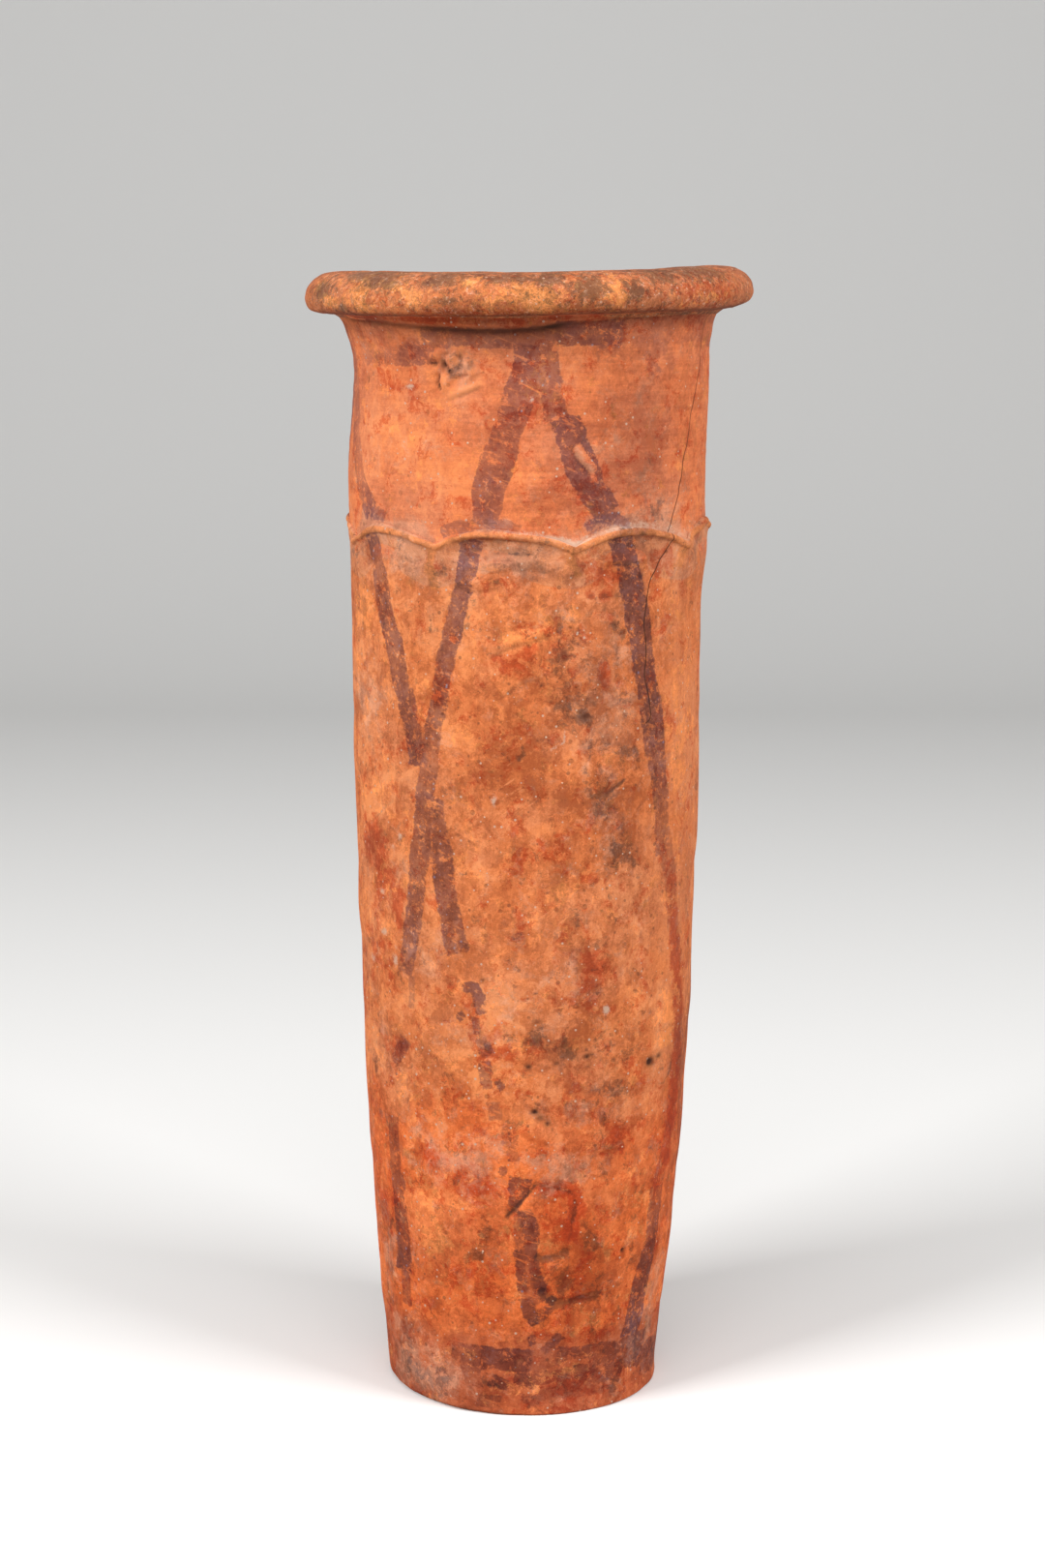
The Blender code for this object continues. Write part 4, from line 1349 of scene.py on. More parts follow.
@dataclass
class Jar:
    """What the clay members share: the measured frame, the ridge, the hand that shaped the clay."""

    ruler: FrameRuler
    arcade: Arcade
    wheel: Wheel
    columns: int = 480
    lumps: Rough = Rough(0.28 * MM, 42 * MM, 3)
    knocks: Rough = Rough(0.11 * MM, 13 * MM, 5)
    scraping: Rough = Rough(0.07 * MM, 7 * MM, 7, (1.0, 1.0, 0.18))
    turning: Rough = Rough(0.030 * MM, 2.4 * MM, 9, (0.06, 0.06, 1.0))
    joint_sway: Rough = Rough(1.6 * MM, 60 * MM, 11)
    crumble: Rough = Rough(0.42 * MM, 1.9 * MM, 13)
    finger_marks: Rough = Rough(0.28 * MM, 16 * MM, 21, (0.5, 0.5, 1.6))
    finger_tips: Rough = Rough(0.11 * MM, 7 * MM, 23)
    crack_shake: Rough = Rough(0.006, 6 * MM, 31)
    joint_dip: float = 0.14 * MM
    joint_width: float = 3.0 * MM
    pleat_proud: float = 0.75 * MM
    pleat_width: float = 1.5
    pleat_spread: float = 1.6
    pleat_fade: float = 0.7
    pleat_lengths: tuple[float, ...] = (15.0, 17.0, 9.0, 12.0, 14.0, 10.0, 15.0, 12.0)
    pleat_leans: tuple[float, ...] = (2.0, -3.0, 2.5, 4.0, -2.0, 3.0, 2.0, -3.0)
    paint_spread: float = 0.50
    brush_shake: float = 0.24 * MM
    brush_wave: float = 9 * MM
    brush_end: float = 0.4
    cover_edge: tuple[float, float] = (-2.0, 0.3)
    groove_wear: float = 7.0
    groove_shade: float = 0.32
    groove_shade_width: float = 0.32
    line_fade: float = 0.12
    fold_proud: float = 1.1 * MM
    fold_fade: float = 22.0
    fold_edge: tuple[float, float] = (-0.5 * MM, 0.15 * MM)
    fold_top: tuple[float, float] = (3.4 * MM, 0.4 * MM)
    hollow_below: float = 0.9 * MM
    hollow_width: float = 0.8 * MM
    hollow_share: float = 0.3
    waist: float = 1.1 * MM
    waist_span: tuple[float, float] = (263.5 * MM, 268.5 * MM)
    residue_edge: tuple[float, float] = (-1.6, -0.2)
    residue_reach: tuple[float, float] = (1.1, 3.0)
    thin_dust: float = 0.45
    thumb_foot: tuple[float, float] = (-13.0, -8.0)
    thumb_top: tuple[float, float] = (-0.8, -2.6)
    thumb_dust: float = 0.60
    thumb_clean: float = 0.45
    arch_shade: float = 0.40
    shade_below: float = 2.2
    shade_width: float = 0.40

    def outside_relief(self, place: Around) -> Array:
        """How far the hand moved the outside in or out from the true turned shape.

        Args:
            place: Where each vertex lies on the turned shape.

        Returns:
            Distance outwards for each vertex, in metres.
        """
        points = place.points()
        ridge = self.arcade.valley_height
        coiled = 1.0 - smooth_step(ridge - 8 * MM, ridge, place.height)
        relief = self.lumps.at(points) * (0.35 + 0.65 * coiled)
        relief += self.knocks.at(points) * (0.3 + 0.7 * coiled)
        relief += self.scraping.at(points) * coiled
        relief += self.turning.at(points) * (1.0 - coiled)
        sway = self.joint_sway.at(points)
        for node in WALL_NODES[:-2]:
            gap = place.height + sway - self.ruler.joints[node][1]
            relief -= self.joint_dip * np.exp(-((gap / self.joint_width) ** 2))
        relief += self.pleats(place)
        for groove in GROOVES:
            relief -= groove.strength * MM * self.line(groove, groove.width, place)
        for dent in DENTS:
            relief -= dent.strength * MM * self.blot(dent, place)
        relief += self.crumble.at(points) * self.blot(SCAR, place)
        narrow = self.waist * (1.0 - self.rises(np.degrees(place.angle), WIDE_WAIST))
        return relief + self.fold(place) - narrow * smooth_step(*self.waist_span, place.height)

    def fold(self, place: Around) -> Array:
        """The fold of clay under the rim, which stands out over its own lower edge at the front.

        Args:
            place: Where each vertex lies.

        Returns:
            Distance outwards for each vertex, in metres.
        """
        degrees, edge = zip(*FOLD)
        angle = np.degrees(place.angle)
        above = place.height - np.interp(angle, degrees, edge) * MM
        ends = smooth_step(degrees[0], degrees[0] + self.fold_fade, angle)
        ends *= smooth_step(degrees[-1], degrees[-1] - self.fold_fade, angle)
        full = smooth_step(*self.fold_edge, above) * smooth_step(*self.fold_top, above)
        hollow = np.exp(-(((above + self.hollow_below) / self.hollow_width) ** 2))
        return ends * (self.fold_proud * full - self.hollow_share * self.fold_proud * hollow)

    def pleats(self, place: Around) -> Array:
        """The folds of clay that hang below the valleys of the ridge, between the thumb marks.

        Args:
            place: Where each vertex lies.

        Returns:
            Distance outwards for each vertex, in metres.
        """
        total = np.zeros(len(place.angle))
        top = self.arcade.valley_height / MM
        for valley, length, lean in zip(self.arcade.valleys, self.pleat_lengths, self.pleat_leans):
            near = near_path(((valley, top), (valley + lean, top - length)), place)
            width = (self.pleat_width + self.pleat_spread * near.along) * MM
            proud = self.pleat_proud * (1.0 - near.along) ** self.pleat_fade
            total += proud * np.exp(-((near.distance / width) ** 2))
        return total

    def blot(self, spot: Spot, place: Around) -> Array:
        """A soft round bump: 1 in the middle of the spot, fading out past its half sizes."""
        across = wrapped(place.angle - math.radians(spot.angle)) * place.radius / (spot.across * MM)
        along = (place.height - spot.height * MM) / (spot.along * MM)
        return np.exp(-(across**2 + along**2))

    def line(self, mark: Line, width: float, place: Around) -> Array:
        """A soft line of a half width in mm: 1 along the middle of the mark, fading out at its ends."""
        near = near_path(mark.path, place)
        ends = smooth_step(0.0, self.line_fade, near.along)
        ends *= smooth_step(1.0, 1.0 - self.line_fade, near.along)
        return ends * np.exp(-((near.distance / (width * MM)) ** 2))

    def inside_relief(self, place: Around) -> Array:
        """How far finger marks move the inside from the measured lining, in metres outwards."""
        points = place.points()
        return self.finger_marks.at(points) + self.finger_tips.at(points)

    def painting(self, place: Around) -> dict[str, Array]:
        """Where the paint lies: depth into a stroke in mm, and how well it covers there.

        Args:
            place: Where each vertex lies.

        Returns:
            Both attributes by name.
        """
        points = place.points()
        turn = self.brush_shake / np.maximum(place.radius, MM) * wave_noise(points, self.brush_wave, 61)
        rise = self.brush_shake * wave_noise(points, self.brush_wave, 63)
        place = place._replace(angle=place.angle + turn, height=place.height + rise)
        depth = np.full(len(points), NO_PAINT)
        cover = np.zeros(len(points))
        for stroke in (*NET, *BANDS):
            near = near_path(stroke.path, place)
            width, strength = (
                np.interp(near.along, np.linspace(0.0, 1.0, len(steps)), steps)
                for steps in (stroke.width, stroke.cover)
            )
            square = np.sqrt(np.clip(near.distance**2 - near.past**2, 0.0, None))
            inside = width / 2 + self.paint_spread - square / MM
            inside = np.minimum(inside, self.brush_end - near.past / MM)
            cover = np.maximum(cover, strength * smooth_step(*self.cover_edge, inside))
            depth = np.maximum(depth, inside)
        for groove in GROOVES:
            if groove.strength < 0.0:
                depth -= self.groove_wear * self.line(groove, groove.width, place)
        return {"paint": depth, "cover": cover}

    def stains(self, place: Around) -> dict[str, Array]:
        """Strength of each kind of stain at each vertex, with the painted shade that is stored among the
        stains.

        Args:
            place: Where each vertex lies.

        Returns:
            The attributes by name.
        """
        found = {mark.value: np.zeros(len(place.angle)) for mark in Mark}
        for mark, rows in STAINS.items():
            for spot in (Spot(*row) for row in rows):
                found[mark.value] += spot.strength * self.blot(spot, place)
        for mark, rows in TRAILS.items():
            for trail in (Line(*row) for row in rows):
                found[mark.value] += trail.strength * self.line(trail, trail.width, place)
        for groove in GROOVES:
            if groove.strength > 0.0:
                # Painted shade in each sunk groove, as a thin dark line
                soot = self.line(groove, self.groove_shade_width, place)
                found[Mark.SOOT_AND_SHADE.value] += self.groove_shade * soot
            else:
                found[Mark.PALE.value] += self.line(groove, groove.width, place)
        return found

    def ridge_marks(self, place: Around) -> dict[str, Array]:
        """Residue that lies on the ridge's upper side, dusty thumb marks under its arches, and a painted
        shadow line under the ridge's lip.

        Args:
            place: Where each vertex lies.

        Returns:
            What is added to the stains and to the painted shade, by name.
        """
        above = (place.height - self.arcade.crest(place.angle)) / MM
        degrees = np.degrees(wrapped(place.angle))
        lying = smooth_step(*self.residue_edge, above)
        high = np.clip(above, 0.0, None)
        thin, thick = (lying * np.exp(-((high / reach) ** 2)) for reach in self.residue_reach)
        white = thin * self.rises(degrees, THIN_CHALK) + thick * self.rises(degrees, THICK_CHALK)
        grey = thick * self.rises(degrees, THICK_DUST) + self.thin_dust * thin
        arch = self.arcade.share(place.angle)
        under = smooth_step(*self.thumb_foot, above) * smooth_step(*self.thumb_top, above) * arch
        under *= self.thumb_dust - self.thumb_clean * self.rises(degrees, CLEAN_THUMB)
        # A painted shadow, with crevice dirt, in a thin line just under the lip of each arch, stored with the
        # soot
        depth = (above + self.shade_below) / self.shade_width
        shade = self.arch_shade * np.exp(-(depth**2)) * arch
        return {Mark.CHALK.value: white, Mark.DUST.value: grey + under, Mark.SOOT_AND_SHADE.value: shade}

    def rises(self, degrees: Array, rows: tuple[tuple[float, float, float], ...]) -> Array:
        """A sum of soft rises round the jar, each by its angle, half width in degrees and height."""
        return sum(gain * np.exp(-(((degrees - side) / spread) ** 2)) for side, spread, gain in rows)

    def crack(self, place: Around) -> Array:
        """Signed distance from the long crack, in mm.

        Args:
            place: Where each vertex lies.

        Returns:
            One distance for each vertex.
        """
        shake = self.crack_shake.at(place.points())
        near = near_path(CRACK, place._replace(angle=place.angle + shake))
        past = smooth_step(0.94, 1.0, near.along) + smooth_step(0.02, 0.0, near.along)
        return np.clip(near.signed / MM, -NO_CRACK, NO_CRACK) + past * 2.0


@dataclass
class ClayMember:
    """One clay member of the jar, turned from a section and shaped by hand."""

    jar: Jar
    node: str
    slot: str
    finish: ClayFinish
    row_pitch: float = 0.55 * MM
    lining_pitch: float = 1.7 * MM
    weld: float = 0.005 * MM
    inside_soil: float = 0.30
    piece: Object | None = field(default=None, init=False)

    def rows(self, low: float, high: float, pitch: float) -> Array:
        """Evenly spaced heights from low to high."""
        return np.linspace(low, high, max(2, round(abs(high - low) / pitch) + 1))

    def section(self) -> Section:
        """The member's cross-section as (radius, height, skin) points, round from the outside's foot."""
        raise NotImplementedError

    def build(self, material: Material) -> Object:
        """Turns the section, shapes it and stores where paint and stains lie.

        Args:
            material: The finish of the piece.

        Returns:
            The piece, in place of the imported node.
        """
        mesh = self.turn(material)
        skin = read_floats(mesh, "skin")
        points, place = self.shape(read_points(mesh), skin)
        self.store(mesh, skin, place)
        mesh.vertices.foreach_set("co", self.jar.ruler.hand_formed(points).astype(np.float32).ravel())
        mesh.shade_smooth()
        mesh.update()
        self.piece = put_in_scene(f"{self.node}_clay", mesh)
        face_outwards(mesh)
        return self.piece

    def wheel_inputs(self) -> dict[str, float | int]:
        """Inputs of the wheel that this member sets."""
        return {"Columns": self.jar.columns}

    def turn(self, material: Material) -> Mesh:
        """Runs the section through the wheel's node tree and returns the plain mesh.

        Args:
            material: The finish of the piece.

        Returns:
            The turned mesh.
        """
        section = self.section()
        outline = bpy.data.meshes.new(f"{self.node}_section")
        outline.from_pydata([(0.0, -radius, height) for radius, height, *_ in section], [], [])
        store_floats(outline, "skin", np.array([row[2].value for row in section]))
        for column, name in ((3, "lift"), (4, "press")):
            values = [row[column] if len(row) > column else 0.0 for row in section]
            store_floats(outline, name, np.array(values))
        values = {**self.wheel_inputs(), "Weld": self.weld, "Clay": material}
        return run_tree(self.jar.wheel.tree, outline, values)

    def shape(self, points: Array, skin: Array) -> tuple[Array, Around]:
        """Moves the turned vertices in and out as the hand did.

        Args:
            points: Vertices of the turned mesh.
            skin: Which face of the clay each lies on. Not used here.

        Returns:
            The moved vertices, and where they lay on the turned shape.
        """
        jar = self.jar
        place = look_round(points)
        outer = jar.ruler.outer(place.height)
        inner = jar.ruler.inner(place.height)
        share = np.clip((place.radius - inner) / (outer - inner), 0.0, 1.0)
        relief = share * jar.outside_relief(place._replace(radius=outer))
        lining = jar.inside_relief(place._replace(radius=inner))
        relief += (1.0 - share) * lining * smooth_step(0.0, 12 * MM, place.radius)
        return place._replace(radius=place.radius + relief).points(), place

    def store(self, mesh: Mesh, skin: Array, place: Around) -> None:
        """Stores the paint, the stains and the crack as vertex attributes.

        Args:
            mesh: The turned mesh.
            skin: Which face of the clay each vertex lies on.
            place: Where each vertex lies.
        """
        jar = self.jar
        fields = {**jar.painting(place), **jar.stains(place), "crack": jar.crack(place)}
        for name, value in jar.ridge_marks(place).items():
            fields[name] = fields[name] + value
        fields["cover"] = fields["cover"] * (1.0 - 0.8 * np.clip(fields[Mark.CHALK.value], 0.0, 1.0))
        bare = dict.fromkeys(fields, 0.0)
        bare |= {Mark.SOIL.value: self.inside_soil, "paint": NO_PAINT, "crack": NO_CRACK}
        for name, value in bare.items():
            fields[name] = np.where(skin > ON_SKIN, fields[name], value)
        for name, value in fields.items():
            store_floats(mesh, name, value)


@dataclass
class WallCoil(ClayMember):
    """A flattened coil of the wall, whose joints were scraped smooth outside."""

    recess: float = 0.12 * MM
    joint_shares: tuple[float, ...] = (0.1, 0.5, 0.9)
    fillet: Path = ()

    def section(self) -> Section:
        """Outside up and along a fillet of wiped clay, over the joint, inside down and back under."""
        ruler = self.jar.ruler
        outer_low, outer_high, inner_low, inner_high = self.edges()
        heights = self.rows(outer_low, outer_high, self.row_pitch)
        outside = [(float(ruler.outer(z)), z, Skin.OUTSIDE) for z in heights]
        edge, seat, _ = outside[-1]
        outside += [(edge + out * MM, seat + up * MM, Skin.OUTSIDE) for out, up in self.fillet]
        heights = self.rows(inner_high, inner_low, self.lining_pitch)
        inside = [(float(ruler.inner(z)), z, Skin.INSIDE) for z in heights]
        top = self.joint(outside[-1], inside[0], -self.recess)
        bottom = self.joint(inside[-1], outside[0], self.recess)
        return [*outside, *top, *inside, *bottom, outside[0]]

    def joint(self, start: tuple, end: tuple, lift: float) -> Section:
        """Points across a joint face, a little back from the neighbour.

        Args:
            start: Where one skin ends.
            end: Where the next begins.
            lift: How far the face is raised.

        Returns:
            The points.
        """
        points = []
        for share in self.joint_shares:
            radius = start[0] + (end[0] - start[0]) * share
            height = start[1] + (end[1] - start[1]) * share + lift
            points.append((radius, height, Skin.JOINT))
        return points

    def edges(self) -> tuple[float, float, float, float]:
        """Heights of the lower and upper edge outside and inside, half-way into the slip of each joint.

        Returns:
            Low and high outside, then low and high inside, in metres.
        """
        joints = self.jar.ruler.joints
        order = WALL_NODES.index(self.node)
        low, high, inner_low, inner_high = joints[self.node]
        below = joints[WALL_NODES[order - 1]]
        low = (low + below[1]) / 2
        inner_low = (inner_low + below[3]) / 2
        if order + 1 < len(WALL_NODES):
            above = joints[WALL_NODES[order + 1]]
            high = (high + above[0]) / 2
            inner_high = (inner_high + above[2]) / 2
        return low, high, inner_low, inner_high


@dataclass
class Collar(WallCoil):
    """The turned neck, flaring out under the rim, with clay wiped up under it."""

    fillet: Path = (
        (0.3, 0.25),
        (1.2, 0.45),
        (2.4, 0.75),
        (3.6, 1.05),
        (3.4, 2.40),
    )


@dataclass
class FootPad(WallCoil):
    """The pad that the jar stands on, rounded at its edge."""

    arc_steps: int = 8
    floor_pitch: float = 1.4 * MM
    sharp_round: float = 0.5 * MM
    sharp_side: float = 70.0

    def section(self) -> Section:
        """From the middle of the underside out, round the edge, up the wall and back over the floor."""
        ruler = self.jar.ruler
        above = ruler.joints[COIL_NODES[0]]
        _, high, floor, _ = ruler.joints[self.node]
        high = (high + above[0]) / 2
        floor = (floor + above[2]) / 2
        bend = ruler.FOOT_ROUND
        edge = float(ruler.outer(bend))
        under = [(r, 0.0, Skin.JOINT) for r in self.rows(0.0, edge - bend, self.floor_pitch)]
        turn = np.radians(np.linspace(-90.0, 0.0, self.arc_steps + 1))[1:-1]
        foot = [(edge - bend + bend * math.cos(t), bend + bend * math.sin(t), Skin.OUTSIDE) for t in turn]
        outside = [(float(ruler.outer(z)), z, Skin.OUTSIDE) for z in self.rows(bend, high, self.row_pitch)]
        lining = float(ruler.inner(floor))
        inside = [(r, floor, Skin.INSIDE) for r in self.rows(lining, 0.0, self.floor_pitch)]
        joint = self.joint(outside[-1], inside[0], -self.recess)
        return [*under, *foot, *outside, *joint, *inside]

    def shape(self, points: Array, skin: Array) -> tuple[Array, Around]:
        """Shapes the wall as its neighbours', with the foot's edge worn round on one side only."""
        bend = self.jar.ruler.FOOT_ROUND
        edge = float(self.jar.ruler.outer(bend))
        place = look_round(points)
        turn = np.arcsin(np.clip(place.height / bend - 1.0, -1.0, 0.0))
        crisp = 0.5 + 0.5 * np.cos(place.angle - math.radians(self.sharp_side))
        worn = bend + (self.sharp_round - bend) * smooth_step(0.35, 0.85, crisp)
        on_arc = (place.height < bend) & (place.radius > edge - bend * 1.01)
        carved = place._replace(
            height=np.where(on_arc, worn + worn * np.sin(turn), place.height),
            radius=np.where(on_arc, edge - worn + worn * np.cos(turn), place.radius),
        )
        return super().shape(carved.points(), skin)


@dataclass
class RimRoll(ClayMember):
    """The thick rolled rim, worn and soiled."""

    section_rows: int = 110
    rounding: int = 2
    lumps: Rough = Rough(0.15 * MM, 22 * MM, 41)
    small_lumps: Rough = Rough(0.4 * (0.15 * MM), 8 * MM, 43)
    pits: Rough = Rough(0.10 * MM, 3.4 * MM, 47)
    top_lift: float = 0.25 * MM
    nose_height: float = 4.3 * MM
    nose_drop: float = 0.60 * MM
    under_height: float = 1.2 * MM

    def section(self) -> Section:
        """The measured section of the roll, rounded between its points."""
        corners = self.jar.ruler.rim_section[:, :2]
        middle = corners.mean(axis=0)
        order = np.argsort(np.arctan2(corners[:, 1] - middle[1], corners[:, 0] - middle[0]))
        loop = corners[order]
        steps = np.linalg.norm(np.diff(np.vstack((loop, loop[:1])), axis=0), axis=1)
        reach = np.concatenate(((0.0,), np.cumsum(steps)))
        closed = np.vstack((loop, loop[:1]))
        even = np.linspace(0.0, reach[-1], self.section_rows + 1)
        fine = np.column_stack([np.interp(even, reach, closed[:, axis]) for axis in range(2)])[:-1]
        for _ in range(self.rounding):
            fine = (np.roll(fine, 1, axis=0) + 2.0 * fine + np.roll(fine, -1, axis=0)) / 4.0
        rows = [(r, z, self.face(r, z)) for r, z in fine]
        return [*rows, rows[0]]

    def face(self, radius: float, height: float) -> Skin:
        """Whether a point of the roll shows outside, lies on the collar or faces the mouth.

        Args:
            radius: Its radius in metres.
            height: Its height in metres.

        Returns:
            The face.
        """
        ruler = self.jar.ruler
        if radius < float(ruler.outer(ruler.seat)) and height < ruler.seat + 1.0 * MM:
            lining = float(ruler.inner(ruler.joints["collar"][3]))
            return Skin.INSIDE if radius < lining + 1.2 * MM else Skin.JOINT
        return Skin.OUTSIDE

    def shape(self, points: Array, skin: Array) -> tuple[Array, Around]:
        """Lumps and wears the roll, square to its own surface, and lets its nose hang a little."""
        ruler = self.jar.ruler
        place = look_round(points)
        middle = ruler.rim_section[:, :2].mean(axis=0)
        out = place.radius - middle[0]
        up = place.height - middle[1]
        size = np.hypot(out, up)
        relief = self.lumps.at(points) + self.small_lumps.at(points)
        relief -= np.clip(self.pits.at(points), 0.0, None)
        relief = np.where(skin == Skin.JOINT.value, 0.0, relief)
        nose = ruler.seat + self.nose_height
        fall = self.nose_drop * smooth_step(nose, nose - 2.6 * MM, place.height)
        fall *= smooth_step(ruler.rim_radius - 6.5 * MM, ruler.rim_radius - 4.0 * MM, place.radius)
        left = smooth_step(20 * MM, -45 * MM, points[:, 0])
        fall *= smooth_step(56 * MM, 40 * MM, points[:, 0])
        fall -= self.top_lift * (1.0 + 1.6 * left) * smooth_step(nose, ruler.top, place.height)
        moved = place._replace(
            height=place.height + relief * up / size - fall,
            radius=place.radius + relief * out / size,
        )
        return moved.points(), place

    def store(self, mesh: Mesh, skin: Array, place: Around) -> None:
        """Stores the stains, with more soil on the top of the roll and painted shade, as burnt clay and soot,
        on its underside.
        """
        super().store(mesh, skin, place)
        ruler = self.jar.ruler
        shows = skin > ON_SKIN
        top = shows * smooth_step(ruler.top - 3.5 * MM, ruler.top - 0.6 * MM, place.height)
        # Painted shade on the roll's underside, added below as burnt clay and soot
        lowest = ruler.seat + self.under_height
        under = shows * smooth_step(lowest + 0.7 * MM, lowest, place.height)
        changes = (
            (Mark.SOIL, 1.0, 0.35 * top),
            (Mark.OCHRE, 1.05, 0.0),
            (Mark.DUST, 1.0, 0.25 * top),
            (Mark.RUST_AND_SHADE, 0.5, 0.0),
            (Mark.BURNT_AND_SHADE, 0.4, under),
            (Mark.SOOT_AND_SHADE, 1.0, 0.35 * under),
        )
        for mark, kept, more in changes:
            store_floats(mesh, mark.value, kept * read_floats(mesh, mark.value) + more)
        store_floats(mesh, "paint", np.full(len(skin), NO_PAINT))
        store_floats(mesh, "crack", np.full(len(skin), NO_CRACK))


@dataclass
class WavyBand(ClayMember):
    """The band of clay thumbed up into an arcade of scallops."""

    columns: int = 640
    foot_below: float = 12.5 * MM
    ridge_proud: float = 1.40 * MM
    ridge_depth: float = 2.1 * MM
    thumbed: float = 0.75 * MM
    sunk: float = 0.25 * MM
    press: float = 0.80 * MM
    thumb_lumps: Rough = Rough(0.16 * MM, 9 * MM, 51)
    thumb_creases: Rough = Rough(0.10 * MM, 4 * MM, 53)
    swelling: Rough = Rough(0.30, 13 * MM, 55)
    pinching: Rough = Rough(0.16, 5 * MM, 59)
    wander: Rough = Rough(0.35 * MM, 18 * MM, 57)
    fullness: tuple[tuple[float, float, float], ...] = (
        (-90.0, -0.50, 26.0),
        (-44.0, -0.50, 9.0),
        (-12.0, 0.25, 12.0),
        (3.0, -0.25, 7.0),
        (72.0, -0.45, 14.0),
    )
    ridge_rows: int = 26
    skirt_rows: int = 30
    back_rows: int = 8

    def wheel_inputs(self) -> dict[str, float | int]:
        """Scallops of the even arcade, which the hand then shifts."""
        arcade = self.jar.arcade
        return {
            "Columns": self.columns,
            "Scallops": arcade.count(),
            "First Valley": math.radians(arcade.valleys[0]),
            "Rise": arcade.rise,
            "Press": self.press,
        }

    def section(self) -> Section:
        """Skirt from its smeared foot up, round the ridge and down the back, with its lift and press."""
        ruler = self.jar.ruler
        crest = self.jar.arcade.valley_height
        foot = crest - self.foot_below
        under = crest - self.ridge_depth
        rows = []
        for share in np.linspace(0.0, 1.0, self.skirt_rows):
            z = foot + (under - foot) * share
            thickness = -self.sunk + (self.thumbed + self.sunk) * smooth_step(0.0, 0.75, np.array(share))
            push = float(np.sin(math.pi * share**2))
            rows.append((float(ruler.outer(z) + thickness), z, Skin.OUTSIDE, share**1.5, push))
        half = self.ridge_depth / 2
        middle = crest - half
        core = float(ruler.outer(middle)) + self.thumbed * 0.4
        reach = self.ridge_proud - self.thumbed * 0.4
        for turn in np.radians(np.linspace(-58.0, 100.0, self.ridge_rows)):
            z = middle + half * math.sin(turn)
            rows.append((core + reach * math.cos(turn), z, Skin.OUTSIDE, 1.0, 0.0))
        top = rows[-1]
        for share in np.linspace(0.0, 1.0, self.back_rows):
            z = top[1] - 0.4 * MM + (foot - top[1] + 0.4 * MM) * share
            rows.append((float(ruler.outer(z)) - 2.0 * self.sunk, z, Skin.JOINT, 1.0 - share**2, 0.0))
        return [*rows, rows[0]]

    def shape(self, points: Array, skin: Array) -> tuple[Array, Around]:
        """Shifts the even arcade to where the hand set it, and roughens the pressed clay."""
        jar = self.jar
        even = look_round(points)
        place = even._replace(angle=wrapped(jar.arcade.by_hand(even.angle)))
        wall = jar.ruler.outer(place.height)
        relief = jar.outside_relief(place._replace(radius=wall))
        spots = place.points()
        uneven = self.thumb_lumps.at(spots) + self.thumb_creases.at(spots)
        proud = place.radius - wall
        uneven += self.swelling.at(spots) * proud + self.pinching.at(spots) * proud
        for side, gain, spread in self.fullness:
            away = wrapped(place.angle - math.radians(side))
            uneven += gain * proud * np.exp(-((away / math.radians(spread)) ** 2))
        relief = relief + np.where(skin > ON_SKIN, uneven * smooth_step(0.0, 0.6 * MM, proud), 0.0)
        wander = self.wander.at(spots)
        moved = place._replace(
            height=place.height + wander * smooth_step(0.2 * MM, 1.0 * MM, proud),
            radius=place.radius + relief,
        )
        return moved.points(), place

    def store(self, mesh: Mesh, skin: Array, place: Around) -> None:
        """Stores the stains, with the paint rubbed off the ridge."""
        super().store(mesh, skin, place)
        proud = place.radius - self.jar.ruler.outer(place.height)
        rubbed = smooth_step(0.75 * MM, 1.1 * MM, proud)
        left = 1.0 - 0.8 * rubbed
        changes = (
            ("paint", 1.0, -8.0 * rubbed),
            (Mark.OCHRE.value, 1.0, 0.65 * rubbed),
            (Mark.CHALK.value, left, 0.0),
            (Mark.DUST.value, left, 0.0),
        )
        for name, kept, more in changes:
            store_floats(mesh, name, kept * read_floats(mesh, name) + more)


